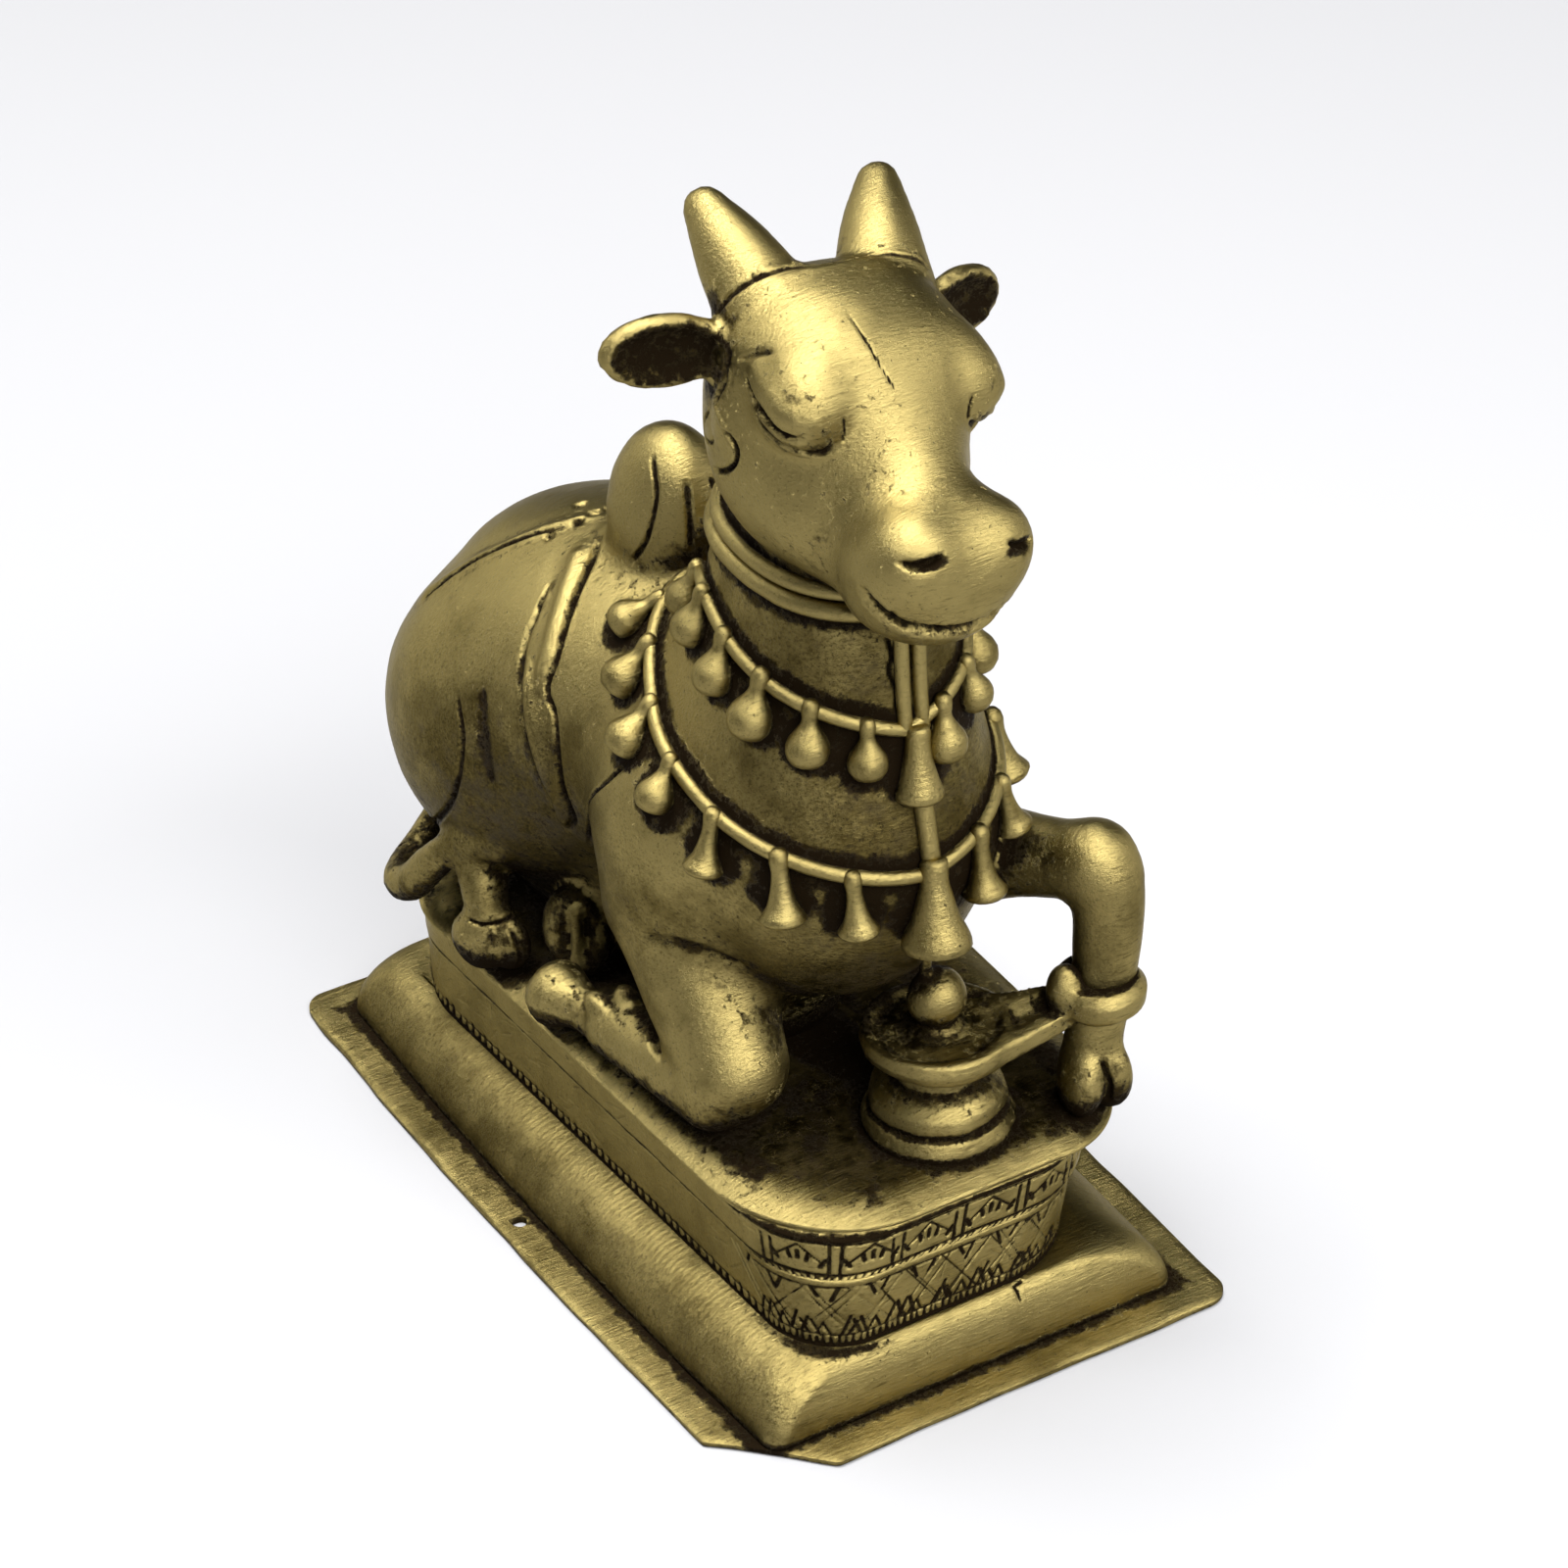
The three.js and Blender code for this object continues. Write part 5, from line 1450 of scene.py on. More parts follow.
# %% Flange
HOLE_AT = (-FLANGE_WIDTH / 2 - FLANGE_BOW + 3.2, 1.5)
# The rings from the underside over the edge: how far in each lies, and its height.
FLANGE_RINGS = [(0.25, 0), (0, 0.25), (0, 0.85), (0.3, 1.15), (1.2, 1.2), (3, 1.2), (5, 1.2), (9, 1.2)]
FLANGE_PATINA = 0.28
SHARP_ANGLE = math.radians(50)


def flange_rings():
    flat = outline((FLANGE_WIDTH / 2, FLANGE_LENGTH / 2), (3.5,) * 4, bow=FLANGE_BOW)
    beyond = np.maximum(-(flat.sum(axis=1) + (FLANGE_WIDTH + FLANGE_LENGTH) / 2 - CUT_CORNER), 0) / 2
    flat = flat + beyond[:, None]
    level = np.column_stack([flat, 0 * flat[:, 0]])
    flat = flat * (1 - 0.009 * value_noise(level, 6, 9)[:, None])
    rings = []
    for step, height in FLANGE_RINGS:
        ring = flat * (1 - step / np.array([FLANGE_WIDTH / 2, FLANGE_LENGTH / 2]))
        wave = 0.3 * (value_noise(level, 7, 2) - 0.5) * (height > 1)
        rings.append(np.column_stack([ring, height + wave - 0.1 * (height > 1)]))
    return rings


def nail_hole():
    """The hole's cutter, a little uneven and with a nick on one side, as a punched hole is."""
    turn = np.linspace(0, 2 * math.pi, 28, endpoint=False)
    radius = HOLE_RADIUS * (1 + 0.06 * np.sin(3 * turn) + 0.35 * np.exp(-(((turn - 2.4) / 0.25) ** 2)))
    flat = np.stack([HOLE_AT[0] + radius * np.cos(turn), HOLE_AT[1] + radius * np.sin(turn)], axis=1)
    rings = [np.column_stack([flat, np.full(len(flat), height)]) for height in (-2, 4)]
    return make_loft("nail", rings)


def pierced(thing, cutter):
    """The thing with the cutter's shape taken out, as a plain mesh."""
    modifier = thing.modifiers.new("hole", "BOOLEAN")
    modifier.operation = "DIFFERENCE"
    modifier.solver = "EXACT"
    modifier.object = cutter
    graph = bpy.context.evaluated_depsgraph_get()
    mesh = bpy.data.meshes.new_from_object(thing.evaluated_get(graph))
    name = thing.name
    bpy.data.objects.remove(thing)
    bpy.data.objects.remove(cutter)
    return put_in_scene(name, mesh)


def make_flange():
    flange = pierced(make_loft("flange_sheet", flange_rings()), nail_hole())
    flange.name = "flange"
    flange.data.set_sharp_from_angle(angle=SHARP_ANGLE)
    x, y, z = points_of(flange.data).T
    beside_moulding = np.maximum(np.abs(x) - MOULDING_HALF[0] - FLANGE_BOW, np.abs(y) - MOULDING_HALF[1])
    hole_edge = np.hypot(x - HOLE_AT[0], y - HOLE_AT[1]) - HOLE_RADIUS
    at_moulding = 0.9 * np.clip(1 - beside_moulding / 1.3, 0, 1)
    at_hole = 0.5 * np.clip(1 - hole_edge / 0.5, 0, 1)
    write_number(flange.data, "dirt", np.maximum.reduce([at_moulding, at_hole, 0.5 * (z < 0.4)]))
    write_number(flange.data, "patina", np.full(len(x), FLANGE_PATINA))
    return flange


flange_piece = make_flange()

# %% [markdown]
# ## The moulding
# The moulding is a quarter round in section. Its long right side shows the fine cross ripples that a file
# leaves when it chatters, which fade towards the back and the corner, and soft dents lie all round. They
# are shifts of the loft's own points. One short crooked chisel stroke stands alone on the front.

# %% Moulding
MOULDING_ROWS, MOULDING_SPACING = 34, 0.3
CHATTER, CHATTER_PITCH = 0.13, 1.0
# Lump size in mm and seed, and for the dents their depth in mm.
CHATTER_SWAY = (6, 5)
DENTS = (11, 15, 0.35)
STROKE_RUN = [(7.8, -53.2), (8.3, -54.2), (7.1, -54.4), (7.3, -55.5)]
STROKE_HALF_WIDTH, STROKE_DEPTH = 0.22, 0.3
FRONT_PATINA, SIDE_FILM_AND_SHADE = 0.12, 0.2


def wall_ring(height, spread, spacing):
    half = (WALL_HALF[0] + spread * OVERHANG[0], WALL_HALF[1] + spread * OVERHANG[1])
    radii = (10 + 10 * spread, 19 - 4 * spread, 17, 17)
    flat = outline(half, radii, taper=WALL_TAPER, shift=spread * PLATE_SHIFT, spacing=spacing)
    return np.column_stack([flat, np.full(len(flat), height)])


def moulding_rings():
    rings = []
    for rise in np.sin(np.linspace(0, math.pi / 2, MOULDING_ROWS)):
        run = 1 - math.sqrt(max(0, 1 - rise * rise))
        half = (MOULDING_HALF[0] - MOULDING_RUN[0] * run, MOULDING_HALF[1] - MOULDING_RUN[1] * run)
        bow, taper = FLANGE_BOW * (1 - run), WALL_TAPER * run
        flat = outline(half, (2.5 + 6 * run,) * 4, bow, taper, spacing=MOULDING_SPACING)
        height = FLANGE_THICKNESS - 0.2 + rise * MOULDING_HEIGHT
        rings.append(np.column_stack([flat, np.full(len(flat), height)]))
    wall = wall_ring(WALL_FOOT, -0.35, MOULDING_SPACING)
    for share in np.linspace(0.1, 1, 10):
        rings.append(rings[MOULDING_ROWS - 1] * (1 - share) + wall * share - [0, 0, 0.15 * share])
    return np.array(rings)


def noise_on(rings, size, seed):
    """Smooth noise at each point of a loft's rings."""
    return value_noise(rings.reshape(-1, 3), size, seed).reshape(rings.shape[:2])


def chattered(rings, up):
    """The height of the file's ripples, which fade out towards the back and the front corner."""
    y = rings[:, :, 1]
    sway = noise_on(rings, *CHATTER_SWAY)
    ripples = CHATTER * np.sin(2 * np.pi * y / CHATTER_PITCH + 5 * sway) * (0.3 + sway)
    fading = np.clip((28 - y) / 15, 0, 1) * np.clip((y + 52) / 6, 0, 1) * np.sin(np.pi * up)
    return ripples * fading * (rings[:, :, 0] < 0)


def make_moulding():
    rings = moulding_rings()
    up = np.clip(np.arange(len(rings)) / (MOULDING_ROWS - 1), 0, 1)[:, None]
    chatter = chattered(rings, up)
    size, seed, depth = DENTS
    dents = depth * (noise_on(rings, size, seed) - 0.5) * np.sin(np.pi * up)
    rings[:, :, 0] += chatter * 0.7
    rings[:, :, 2] += chatter + dents
    stroke = np.array([(x, y, 0) for x, y in STROKE_RUN])
    from_stroke = distance_to_path(rings.reshape(-1, 3) * [1, 1, 0], stroke)[0]
    stroke_cut = np.clip(1.3 - from_stroke / STROKE_HALF_WIDTH, 0, 1).reshape(rings.shape[:2])
    rings[:, :, 2] -= STROKE_DEPTH * stroke_cut
    wall_gap = np.linalg.norm(rings - rings[-1], axis=2)
    edge_dirt = np.clip(1 - up / 0.09, 0, 1) + 0.9 * np.clip(1 - wall_gap / 2.4, 0, 1)
    # Film and painted shade darken the long right side.
    side_film_and_shade = np.clip((-rings[:, :, 0] - 18) / 11, 0, 1)
    patina = FRONT_PATINA + SIDE_FILM_AND_SHADE * side_film_and_shade
    return make_loft("moulding", rings, dirt=np.maximum(edge_dirt, stroke_cut), patina=patina)


moulding_piece = make_moulding()

# %% [markdown]
# ## The frieze
# A small chisel cut every line of the frieze by hand: upright pairs and arches in the band under the lip,
# a row of punches on the ledge, large crossed strokes on the lower wall, and a punched border at the
# foot. A bump texture would leave the outline smooth, so the strokes are real cuts. They are set out in
# the wall's own length and height, with a small seeded wobble, each (start, end, width, strength).

# %% The frieze's strokes
WALL_TOP = WALL_FOOT + WALL_HEIGHT
FRIEZE_FOOT = WALL_TOP - FRIEZE_HEIGHT
LEDGE = FRIEZE_FOOT - FRIEZE_STEP
# The carved part is this share of the way round, from the front right corner on.
FRONT_SHARE = 0.22
UPRIGHT_PITCH, LATTICE_PITCH = 9.6, 6.4
WAVER_PIECE = 4.0


def frieze_strokes(rng, start, end, low, high):
    """Pairs of uprights, then an arch of two slanting strokes with a few short ticks."""
    strokes = []
    count = round((end - start) / UPRIGHT_PITCH)
    for n in range(count):
        u = start + (n + 0.5) * (end - start) / count + rng.uniform(-0.4, 0.4)
        for side in (-0.7, 0.7):
            tip = u + side + rng.uniform(-0.3, 0.3)
            strokes.append((u + side, low + 0.1, tip, high - rng.uniform(0, 0.8), 0.62, rng.uniform(0.7, 1)))
        top = (u + 4.8 + rng.uniform(-0.3, 0.3), high - 0.4)
        for side in (-1, 1):
            strokes.append((top[0], top[1], top[0] + side * 3.5, low + 1.2, 0.42, 0.8))
            strokes.append((top[0] + side * 2.9, low + 1, top[0] + side * 3.6, low + 1.9, 0.75, 1))
            strokes.append((top[0] + side * 1.1, low + 1.7, top[0] + side * 1.4, low + 2.6, 0.7, 1))
        strokes.append((top[0], low + 1.9, top[0], low + 2.8, 0.7, 1))
    return strokes


def punch_row(rng, start, end, level, height, pitch, width):
    """Short upright punches at an even pitch."""
    count = round((end - start) / pitch)
    strokes = []
    for n in range(count):
        u = start + (n + 0.5) * (end - start) / count + rng.uniform(-0.12, 0.12)
        tall = height * rng.uniform(0.7, 1.1)
        tip = u + rng.uniform(-0.1, 0.1)
        strokes.append((u, level, tip, level + tall, width, rng.uniform(0.6, 1)))
    return strokes


def lattice_strokes(rng, start, end, low, high):
    """Large crossed diagonals, small wedges under the ledge and ticks over the border."""
    strokes = []
    count = round((end - start) / LATTICE_PITCH)
    pitch = (end - start) / count
    for n in range(count):
        u = start + n * pitch + rng.uniform(-0.5, 0.5)
        for side in (-1, 1):
            slant = side * pitch * rng.uniform(0.85, 1.15)
            strokes.append((u, low, u + slant, high, 0.34, rng.uniform(0.3, 0.75)))
            strokes.append((u + 1.7 * side, high, u + 2.6 * side, high - rng.uniform(1.4, 2.4), 0.62, 1))
            strokes.append((u + 1.2 * side, low, u + 0.2 * side, low + rng.uniform(1.6, 2.8), 0.6, 1))
            strokes.append((u + pitch / 2 + 0.9 * side, low, u + pitch / 2, low + 1.7, 0.5, 0.9))
    return strokes


def scratches(rng, start, end, low, high, count):
    """Fine stray scratches, mostly slanting up along the wall."""
    strokes = []
    for _ in range(count):
        u, h = rng.uniform(start, end), rng.uniform(low, high)
        turn, length = rng.normal(0.3, 0.5), rng.uniform(1, 5)
        far_u, far_h = u + length * math.cos(turn), h + length * math.sin(turn)
        strokes.append((u, h, far_u, far_h, 0.24, rng.uniform(0.1, 0.4)))
    return strokes


def wavering(rng, start, end, level, width, strength, sway):
    """A long line cut by eye, as short pieces whose height wanders."""
    count = round((end - start) / WAVER_PIECE)
    u = np.linspace(start, end, count + 1)
    h = level + rng.uniform(-sway, sway, count + 1)
    strong = strength * rng.uniform(0.7, 1.1, count)
    return [(u[n], h[n], u[n + 1], h[n + 1], width, strong[n]) for n in range(count)]


print("ledge, frieze's foot and wall's top, mm:", np.round([LEDGE, FRIEZE_FOOT, WALL_TOP], 1))

# %% [markdown]
# ## Pressing the strokes in
# A stroke is a V-shaped cut: full depth along its middle, and less towards its sides. Where strokes cross,
# the deeper one counts, as it does under a real chisel. The rows and columns of the wall are 0.21 mm
# apart, so that the narrowest stroke still spans a few of them. The depth of the cut is also its dirt.

# %% Press the strokes
WALL_SPACING = 0.21
CUT_DEPTH = 0.32


def length_along(ring):
    """Each point's place along a closed ring, and the ring's whole length."""
    step = np.linalg.norm(np.roll(ring, -1, axis=0) - ring, axis=1)
    return np.concatenate([[0], np.cumsum(step)[:-1]]), step.sum()


def pressed(rings, along, heights, total, strokes):
    """Cuts strokes, each (u0, h0, u1, h1, width, strength), into a wall, and gives the dirt in them."""
    cut = np.zeros(rings.shape[:2])
    for u0, h0, u1, h1, width, strength in strokes:
        for wrap in (-total, 0, total):
            near = np.abs(along - (u0 + u1) / 2 - wrap) < abs(u1 - u0) / 2 + 1
            rows = np.abs(heights - (h0 + h1) / 2) < abs(h1 - h0) / 2 + 1
            if not near.any() or not rows.any():
                continue
            u, h = np.meshgrid(along[near] - wrap, heights[rows])
            length2 = (u1 - u0) ** 2 + (h1 - h0) ** 2 + 1e-9
            share = np.clip(((u - u0) * (u1 - u0) + (h - h0) * (h1 - h0)) / length2, 0, 1)
            gap = np.hypot(u - u0 - share * (u1 - u0), h - h0 - share * (h1 - h0))
            block = np.ix_(rows, near)
            cut[block] = np.maximum(cut[block], strength * np.clip(1.3 - gap / (width / 2), 0, 1))
    outward = np.roll(rings[0], -1, axis=0) - np.roll(rings[0], 1, axis=0)
    outward = np.stack([outward[:, 1], -outward[:, 0], 0 * outward[:, 0]], axis=1)
    outward /= np.linalg.norm(outward, axis=1)[:, None]
    return rings - cut[:, :, None] * CUT_DEPTH * outward[None], cut


def spread_at(height):
    """How far the outline has grown from the wall's foot, 0, to the lip, 1, at a height."""
    step = FRIEZE_STEP / OVERHANG[0]
    lean = 0.5 - step
    at_frieze = lean * (1 - FRIEZE_HEIGHT / WALL_HEIGHT)
    levels = [0, WALL_FOOT, LEDGE, FRIEZE_FOOT, WALL_TOP]
    spreads = [0, 0, at_frieze, at_frieze + step, lean + step]
    levels += [WALL_TOP + LIP_HEIGHT * share for share in (0.15, 0.5, 0.85, 1)]
    spreads += [0.9, 1, 1, 0.92]
    return np.interp(height, levels, spreads)


print("spread at the foot, the frieze and the lip:", spread_at([WALL_FOOT, FRIEZE_FOOT, 27]).round(2))

# %% [markdown]
# ## The lower wall
# Crossed diagonals fill the front of the lower wall, between two long lines cut by eye. A punched border
# runs round its whole foot, finer at the front and coarser along the sides. Its top row is hidden inside
# the plate, and its foot inside the moulding.

# %% Lower wall
WALL_PATINA = 0.2
WALL_SCRATCHES = 200


def lower_wall_strokes(rng, total):
    front = FRONT_SHARE * total
    low, high = WALL_FOOT + 1.8, LEDGE - 0.7
    strokes = punch_row(rng, 0, front, WALL_FOOT + 0.5, 0.95, 0.95, 0.55)
    strokes += punch_row(rng, front, total, WALL_FOOT + 0.6, 1.2, 1.7, 0.9)
    for level, end, strength in (
        (WALL_FOOT + 0.3, total, 0.7), (WALL_FOOT + 1.7, total, 0.8), (LEDGE - 0.8, front, 0.7),
    ):
        strokes += wavering(rng, 0, end, level, 0.4, strength, 0.08)
    strokes += lattice_strokes(rng, 0, front, low, high)
    strokes += lattice_strokes(rng, 1.6, front, low, high)[::2]
    return strokes + scratches(rng, 0, total, WALL_FOOT + 2, high, WALL_SCRATCHES)


def lower_wall():
    rng = np.random.default_rng(12)
    rows = np.arange(WALL_FOOT - 0.2, LEDGE + 0.05, WALL_SPACING)
    heights = np.concatenate([[WALL_FOOT - 2, WALL_FOOT - 0.6], rows, [LEDGE + 0.2]])
    rings = np.array([wall_ring(h, spread_at(h), WALL_SPACING) for h in heights])
    along, total = length_along(rings[10])
    rings, cut = pressed(rings, along, heights, total, lower_wall_strokes(rng, total))
    foot = np.clip(1.1 - (heights - rows[0]) / 1.2, 0, 1)[:, None]
    dirt = np.clip(0.9 * cut + foot, 0, 1)
    return make_loft("plinth_wall", rings, dirt=dirt, patina=np.full(cut.shape, WALL_PATINA))


wall_piece = lower_wall()

# %% [markdown]
# ## The plate
# The plate carries the frieze's band on its side, then rolls over into a lip, with a painted shadow line
# under it. Its top falls away towards the edge, where hands keep it bright, and is dark and uneven further
# in, most of all round the bull and the lingam, where dirt and painted shade lie together. The rings on the
# top have no useful height, so their level counts from TOP_LEVEL instead, by how far in they lie.

# %% Plate and lip
# The top falls away towards its edge: how far down, and over what width.
RIM_DROP, RIM_SLOPE = 1.8, 6.2
ROLL_ANGLES = [12, 24, 36, 46, 56, 64]
INWARD_STEPS = [0.5, 1, 1.5, 2, 2.5, 3, 3.6, 4.2, 5, 6.5, 8.5, 12, 15, 18, 21, 23]
TOP_LEVEL = 100
PLATE_SCRATCHES = 120


def plate_rings():
    """The rings from the ledge up, round the lip and in over the top, and the level of each."""
    band = np.arange(FRIEZE_FOOT, WALL_TOP - 0.05, WALL_SPACING)
    below, over = LEDGE + np.array([-0.5, 0, 0.15, 0.35, 0.55]), WALL_TOP + np.array([0, 0.15, 0.3])
    levels = np.concatenate([below, band, over])
    rings = [wall_ring(h, s, WALL_SPACING) for h, s in zip(levels, spread_at(levels))]
    lip = over[-1]
    roll = PLATE_TOP - RIM_DROP - lip
    for angle in np.radians(ROLL_ANGLES):
        back = 1.3 * roll / OVERHANG[0] * (1 - math.cos(angle))
        rings.append(wall_ring(lip + roll * math.sin(angle), 1 - back, WALL_SPACING))
        levels = np.append(levels, rings[-1][0][2])
    rim = rings[-1]
    middle = np.array([PLATE_SHIFT, 0, 0])
    for step in INWARD_STEPS:
        ring = (rim - middle) * np.array([1 - step / 30, 1 - step / 52, 1]) + middle
        ring[:, 2] = PLATE_TOP - 0.1 - RIM_DROP * max(0, 1 - step / RIM_SLOPE) ** 2
        rings.append(ring)
        levels = np.append(levels, TOP_LEVEL + step)
    return np.array(rings), levels


def plate_strokes(rng, total):
    front = FRONT_SHARE * total
    strokes = frieze_strokes(rng, 0, front, FRIEZE_FOOT + 0.3, WALL_TOP - 0.4)
    strokes += punch_row(rng, 0, front, LEDGE + 0.05, 0.5, 1.1, 0.6)
    for level, width, strength in ((LEDGE - 0.1, 0.4, 0.8), (FRIEZE_FOOT + 0.1, 0.5, 1.0)):
        strokes += wavering(rng, 0, total, level, width, strength, 0.1)
    strokes += wavering(rng, 0, front, WALL_TOP - 0.3, 0.5, 0.8, 0.1)
    strokes += wavering(rng, 1.08 * front, total, WALL_TOP - 0.2, 1.0, 2.0, 0.1)
    return strokes + scratches(rng, 0, total, FRIEZE_FOOT + 0.4, WALL_TOP - 0.4, PLATE_SCRATCHES)


def plate_dirt_and_shade(flat, levels, cut, on_top):
    """Dirt in the cuts and in blotches away from the rim, a painted shadow under the lip, and dirt and
    painted shade round what stands on the plate.
    """
    # A painted shadow line under the lip's overhang.
    painted_shadow_under_lip = np.exp(-(((levels - WALL_TOP - 0.1) / 0.25) ** 2))[:, None]
    # Dirt and painted shade on the plate close round the bull and the lingam.
    dirt_and_shade_round_bull = np.clip(1 - BULL.distance(flat - ON_PLATE) / 4, 0, 1).reshape(cut.shape) * on_top
    dirt_and_shade_round_stand = np.clip(1 - LINGAM.distance(flat - ON_PLATE) / 2, 0, 1).reshape(cut.shape) * on_top
    blotches = 0.7 * value_noise(flat, 5, 13) + 0.3 * value_noise(flat, 1.6, 14)
    inland = np.clip((levels - TOP_LEVEL - 0.2) / 4, 0, 1)[:, None]
    stained = np.clip(2.2 * (blotches - 0.38), 0, 0.66).reshape(cut.shape) * inland
    return np.maximum.reduce([cut * 0.95, painted_shadow_under_lip + 0 * cut, dirt_and_shade_round_bull, dirt_and_shade_round_stand, stained])


def plate_and_lip():
    rng = np.random.default_rng(21)
    rings, levels = plate_rings()
    along, total = length_along(rings[10])
    rings, cut = pressed(rings, along, levels, total, plate_strokes(rng, total))
    on_top = (levels > TOP_LEVEL).astype(float)[:, None]
    rough = 0.5 * noise_on(rings, 2.2, 7) + 0.3 * noise_on(rings, 0.9, 8)
    rings[:, :, 2] += 0.22 * (rough - 0.4) * on_top
    dirt = plate_dirt_and_shade(rings.reshape(-1, 3), levels, cut, on_top)
    patina = np.clip((levels - TOP_LEVEL - 2) / 5, 0, 1)[:, None] * 0.45 + 0.16
    return make_loft("plinth_plate", rings, dirt=dirt, patina=patina + 0 * cut)


plate_piece = plate_and_lip()

# %% [markdown]
# ## The brass
# The metal is leaded brass, cast, filed and brushed, then darkened by oil, soot and age. What the eye
# reads is a satin gold on every high place, a duller olive on the flanks, brown specks where pits hold
# dirt, and nearly black hollows. Part of the dark in the hollows, under the body and on the flanks is
# painted shade. A painted picture would need every piece unwrapped. One material gives all of that
# instead: the dirt and patina numbers on the points say where, and noise with its lumps in millimetres
# breaks their edges.

# %% Colours
def linear(hex_colour):
    """An sRGB hex colour as linear red, green, blue and alpha."""
    parts = [int(hex_colour[n : n + 2], 16) / 255 for n in (1, 3, 5)]
    return [c / 12.92 if c <= 0.04045 else ((c + 0.055) / 1.055) ** 2.4 for c in parts] + [1]


# Each grain is a noise: lump size in mm, detail, roughness, turn, and squeeze. A squeeze below 1 along one
# axis draws the lumps out into brush marks. Real brush marks are under 0.1 mm wide, which is too fine to
# show, so these are drawn about 0.5 mm wide.
GRAINS = {
    "clouds": (8, 5.0, 0.65, (0, 0, 0), (1, 1, 1)),
    "patches": (3.4, 6.0, 0.7, (0.3, 0.1, 0), (1, 1, 1)),
    "specks": (1.2, 8.0, 0.75, (0, 0, 0.4), (1, 1, 1)),
    "grit": (0.6, 6.0, 0.8, (0.5, 0, 0.9), (1, 1, 1)),
    "pits": (0.42, 3.0, 0.6, (0, 0, 0), (1, 1, 1)),
    "brushing": (0.42, 5.0, 0.75, (0.2, 0.5, 0.3), (0.1, 1, 1)),
    "crossing": (0.55, 5.0, 0.75, (0.7, -0.4, 1.9), (0.1, 1, 1)),
}
# Each coat lies over those before it: the number it follows, the grain that breaks its edge and how much,
# where it starts and is full, its greatest share, and its colour.
COATS = {
    # The patina number holds film, and also painted shade on the bull's faces that look down or aside and on
    # the moulding's long right side.
    "olive film": ("patina", "clouds", 1.0, 0.1, 0.6, 0.9, "#4D4221"),
    "brush lines": ("patina", "brushing", 3.6, 0.2, 1.0, 0.7, "#3A3016"),
    "cross lines": ("patina", "crossing", 3.0, 0.3, 1.0, 0.55, "#3E3419"),
    "fine stains": ("patina", "grit", 2.8, 0.52, 0.84, 0.85, "#292415"),
    "brown film": ("patina", "patches", 1.4, 0.4, 0.86, 0.85, "#3A3018"),
    "red oxide": ("patina", "specks", 2.4, 0.7, 0.98, 0.4, "#3D2515"),
    # The last two coats follow the dirt number, which holds real dirt and also painted shade in crevices, on
    # undersides, between the legs and under the plate's lip.
    "old grime and shade": ("dirt", "patches", 1.4, 0.26, 0.56, 0.92, "#241B0D"),
    "black grime and shade": ("dirt", "specks", 3.2, 0.42, 0.8, 1.0, "#181108"),
}
WORN_BRASS, PIT_COLOUR, SHEEN_COLOUR = linear("#928351"), linear("#100B05"), linear("#D0CCC0")
print("worn brass, linear:", np.round(WORN_BRASS, 3))

# %% [markdown]
# ## Grains and coats
# The grains are laid out on the object in millimetres, so every piece of the casting has them at one size.
# The coats then lie over the worn metal in the order in which time laid them: film first, dirt last.

# %% Grains and coats
def grains_in(tree):
    """The strength of each grain."""
    place = add(tree, "ShaderNodeTexCoord").outputs["Object"]
    mm = add(tree, "ShaderNodeVectorMath", {0: place, "Scale": 1 / MM}, operation="SCALE").outputs[0]
    grains = {}
    for name, (size, detail, rough, turn, squeeze) in GRAINS.items():
        laid_out = add(tree, "ShaderNodeMapping", {"Vector": mm, "Rotation": turn, "Scale": squeeze})
        noise = add(tree, "ShaderNodeTexNoise", {
            "Vector": laid_out.outputs[0], "Scale": 1 / size, "Detail": detail, "Roughness": rough})
        grains[name] = noise.outputs["Fac"]
    return grains


def coats_over(tree, grains):
    """The colour of the coated metal, and the share that each coat takes."""
    numbers = {}
    for key in ("dirt", "patina"):
        numbers[key] = add(tree, "ShaderNodeAttribute", attribute_name=key).outputs["Fac"]
    colour = WORN_BRASS
    shares = {}
    for name, (follows, grain, strength, start, full, most, hex_colour) in COATS.items():
        centred = add(tree, "ShaderNodeMath", {0: grains[grain], 1: 0.5}, operation="SUBTRACT")
        broken = add(tree, "ShaderNodeMath", {
            0: centred.outputs[0], 1: strength, 2: numbers[follows]}, operation="MULTIPLY_ADD")
        shares[name] = add(tree, "ShaderNodeMapRange", {
            "Value": broken.outputs[0], "From Min": start, "From Max": full, "To Max": most},
            interpolation_type="SMOOTHSTEP").outputs["Result"]
        colour = add(tree, "ShaderNodeMix", {
            0: shares[name], 6: colour, 7: linear(hex_colour)}, data_type="RGBA").outputs[2]
    return colour, shares


print(len(GRAINS), "grains and", len(COATS), "coats")

# %% [markdown]
# ## The finish
# Rubbed metal is a smooth satin. Films make it rougher and less metallic, and the black coat of dirt and
# painted shade is matt and no metal at all. Brush marks, specks, pits and the dirt's own crust are bumps of
# about a tenth of a millimetre. They don't show in the outline, so bump is enough for them, and it breaks
# up the highlights.

# %% Cast brass
PIT_START, PIT_FULL = 0.68, 0.72
WORN_ROUGHNESS, WORN_SHEEN = 0.21, 0.5
BUMP_DEPTH = 0.1 * MM


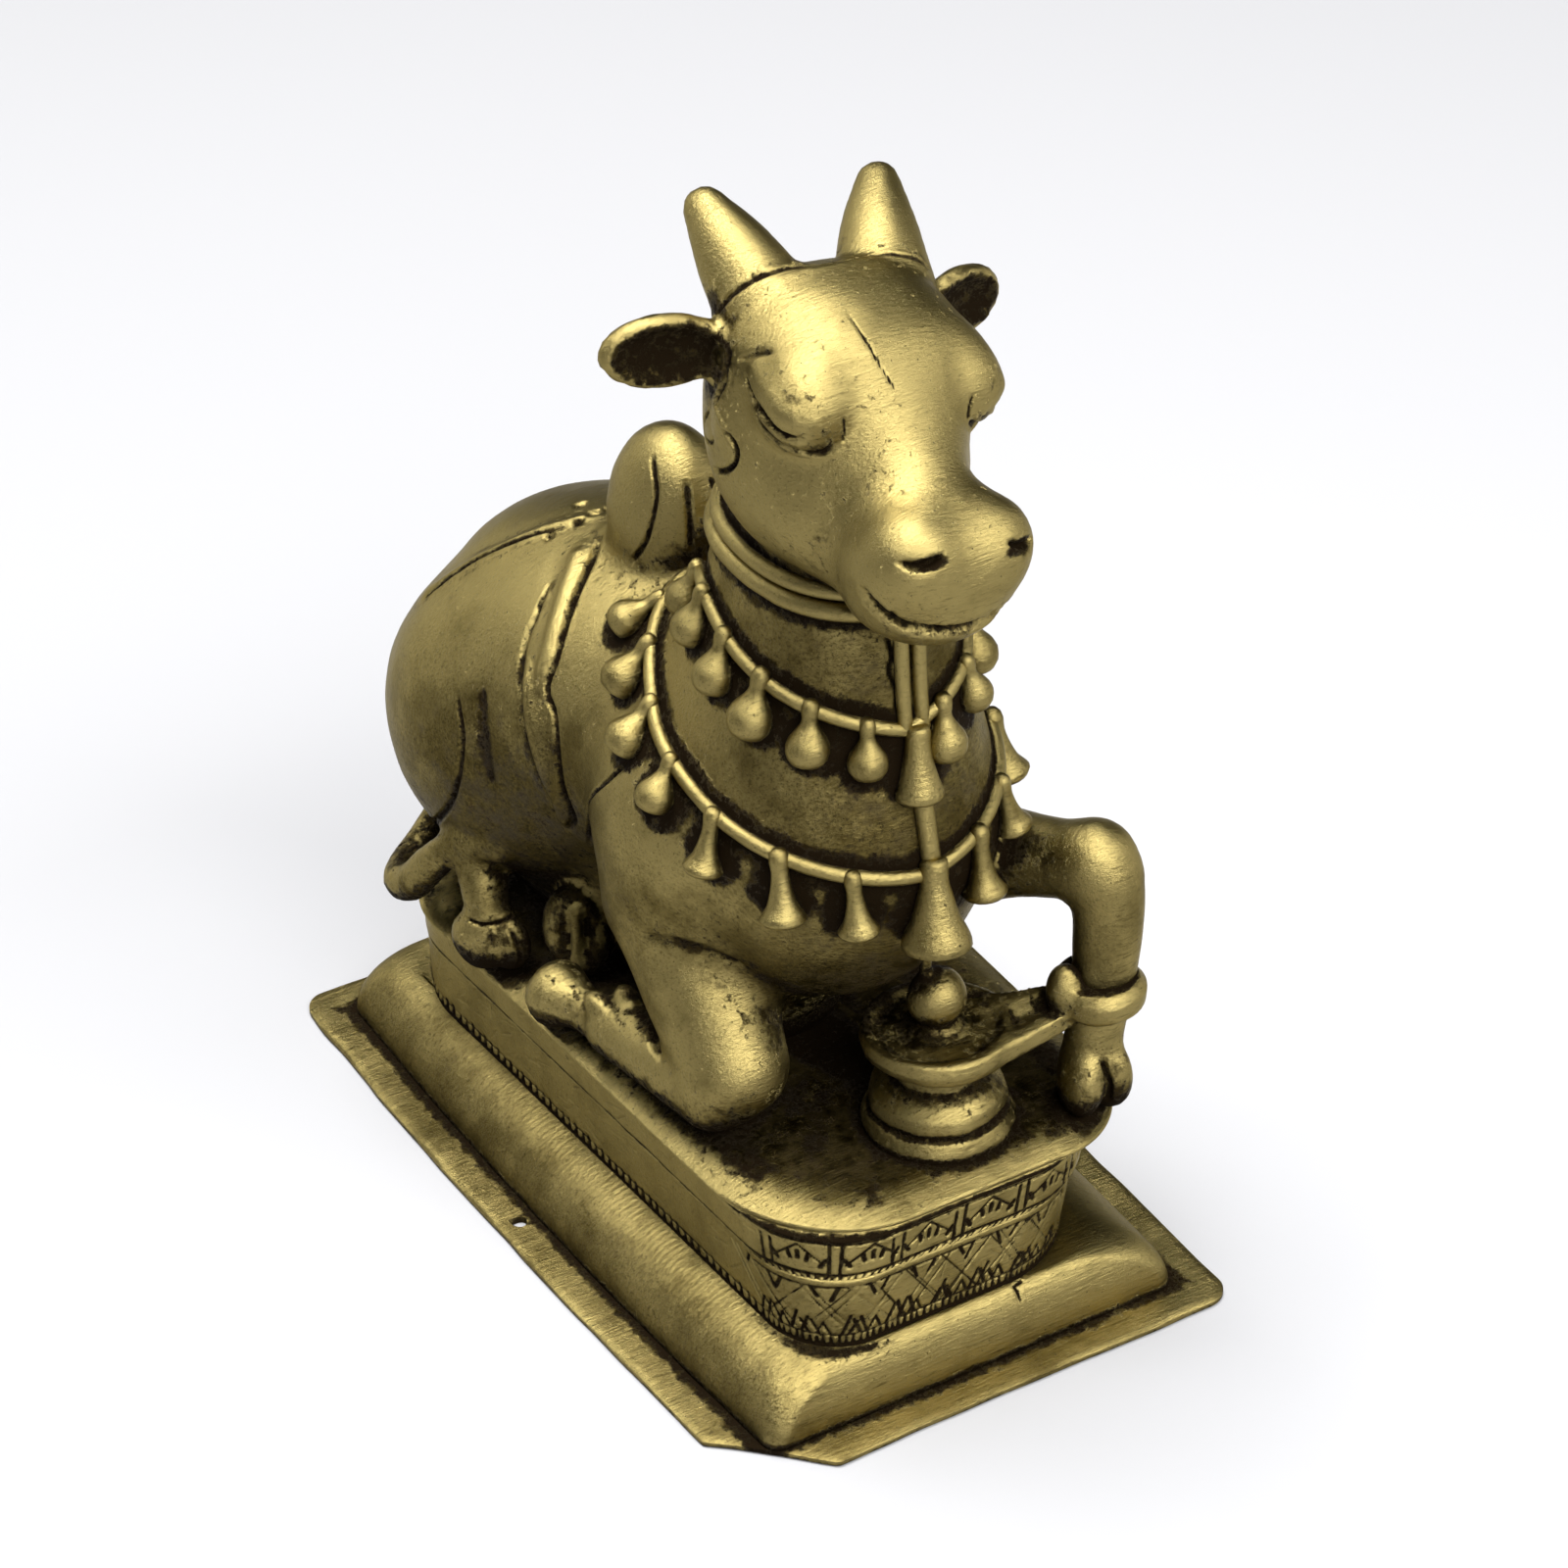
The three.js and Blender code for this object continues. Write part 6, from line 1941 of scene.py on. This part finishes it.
def cast_brass(material):
    tree = material.node_tree
    tree.nodes.clear()
    grains = grains_in(tree)
    colour, shares = coats_over(tree, grains)
    pits = add(tree, "ShaderNodeMapRange", {
        "Value": grains["pits"], "From Min": PIT_START, "From Max": PIT_FULL},
        interpolation_type="SMOOTHSTEP").outputs["Result"]
    colour = add(tree, "ShaderNodeMix", {0: pits, 6: colour, 7: PIT_COLOUR}, data_type="RGBA").outputs[2]
    black, brown, brushing = shares["black grime and shade"], shares["brown film"], grains["brushing"]
    crust = add(tree, "ShaderNodeMath", {0: black, 1: grains["grit"]}, operation="MULTIPLY").outputs[0]
    marks = [(brushing, 1.5), (grains["crossing"], 1.2), (grains["specks"], 0.8), (pits, -1.0), (crust, 4.0)]
    # Each value on worn metal, and how much a full share of each grain or coat adds to it.
    sums = {
        "Roughness": (WORN_ROUGHNESS, [(brushing, 0.2), (brown, 0.26), (black, 0.35)]),
        "Metallic": (1.0, [(black, -1.0), (brown, -0.5)]),
        "Specular IOR Level": (WORN_SHEEN, [(black, -0.48)]),
        "Height": (0.0, marks),
    }
    made = {}
    for key, (value, parts) in sums.items():
        for share, most in parts:
            settings = {0: share, 1: most, 2: value}
            value = add(tree, "ShaderNodeMath", settings, operation="MULTIPLY_ADD").outputs[0]
        made[key] = value
    height = made.pop("Height")
    bump = add(tree, "ShaderNodeBump", {"Height": height, "Strength": 0.75, "Distance": BUMP_DEPTH})
    shader = add(tree, "ShaderNodeBsdfPrincipled", {
        "Base Color": colour, "Specular Tint": SHEEN_COLOUR, "Normal": bump.outputs[0], **made})
    add(tree, "ShaderNodeOutputMaterial", {"Surface": shader.outputs[0]})


cast_brass(BRASS)
plinth = [flange_piece, moulding_piece, wall_piece, plate_piece]
pieces = [bull_piece, lingam_piece, *plinth, *threads, *pendants]
for piece in pieces:
    piece.data.materials.clear()
    piece.data.materials.append(BRASS)
print("pieces:", [piece.name for piece in pieces])

# %% [markdown]
# ## Floor and light
# The photo was taken on white paper. One soft lamp hangs nearly overhead and a wide one in front fills the
# shadows. A weak one behind at the left and another at the right pick out the edges. Satin metal shows
# what surrounds it, so the lamps are wide, and the world is nearly black, so that the hollows stay dark.
# The Standard view transform keeps the brass's colour and contrast, which the default one flattens.

# %% Stage
FLOOR_HALF = 3
PAPER_COLOUR, PAPER_ROUGHNESS = linear("#A3A3A5"), 0.9
# Each lamp's place and size in metres, and its power in watts. All of them aim at the bull's middle.
LAMPS = {
    "overhead": ((-0.1, 0.1, 1.0), (0.58, 0.48), 20),
    "back_left": ((-0.4, 0.9, 0.45), (0.9, 0.4), 3.8),
    "front": ((0.1, -0.95, 0.85), (1.3, 0.5), 26),
    "right": ((0.95, -0.3, 0.35), (0.4, 0.4), 2),
}
LAMPS_AIM = Vector((0, 0, 0.06))
WORLD_STRENGTH = 0.02


def make_floor():
    mesh = bpy.data.meshes.new("floor")
    corners = [(x * FLOOR_HALF, y * FLOOR_HALF, 0) for x, y in ((-1, -1), (1, -1), (1, 1), (-1, 1))]
    mesh.from_pydata(corners, [], [(0, 1, 2, 3)])
    floor = put_in_scene("floor", mesh)
    paper = bpy.data.materials.new("matt_white_paper")
    paper.use_nodes = True
    shader = paper.node_tree.nodes["Principled BSDF"]
    shader.inputs["Base Color"].default_value = PAPER_COLOUR
    shader.inputs["Roughness"].default_value = PAPER_ROUGHNESS
    mesh.materials.append(paper)


def soft_light(name, place, size, watts):
    data = bpy.data.lights.new(name, "AREA")
    data.shape = "RECTANGLE"
    data.size, data.size_y = size
    data.energy = watts
    lamp = put_in_scene(name, data)
    lamp.location = place
    lamp.rotation_euler = (LAMPS_AIM - Vector(place)).to_track_quat("-Z", "Y").to_euler()


def make_world(strength):
    world = bpy.data.worlds.new("studio")
    world.use_nodes = True
    background = world.node_tree.nodes["Background"]
    background.inputs["Color"].default_value = (1, 1, 1, 1)
    background.inputs["Strength"].default_value = strength
    bpy.context.scene.world = world


make_floor()
for name, (place, size, watts) in LAMPS.items():
    soft_light(name, place, size, watts)
make_world(WORLD_STRENGTH)
bpy.context.scene.view_settings.view_transform = "Standard"

# %% [markdown]
# ## Hand over
# Every piece rides on the one body, stands for the cast solid and takes its finish from the same slot.

# %% Hand over
for piece in pieces:
    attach(piece, "root")
    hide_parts("nandi_bull")
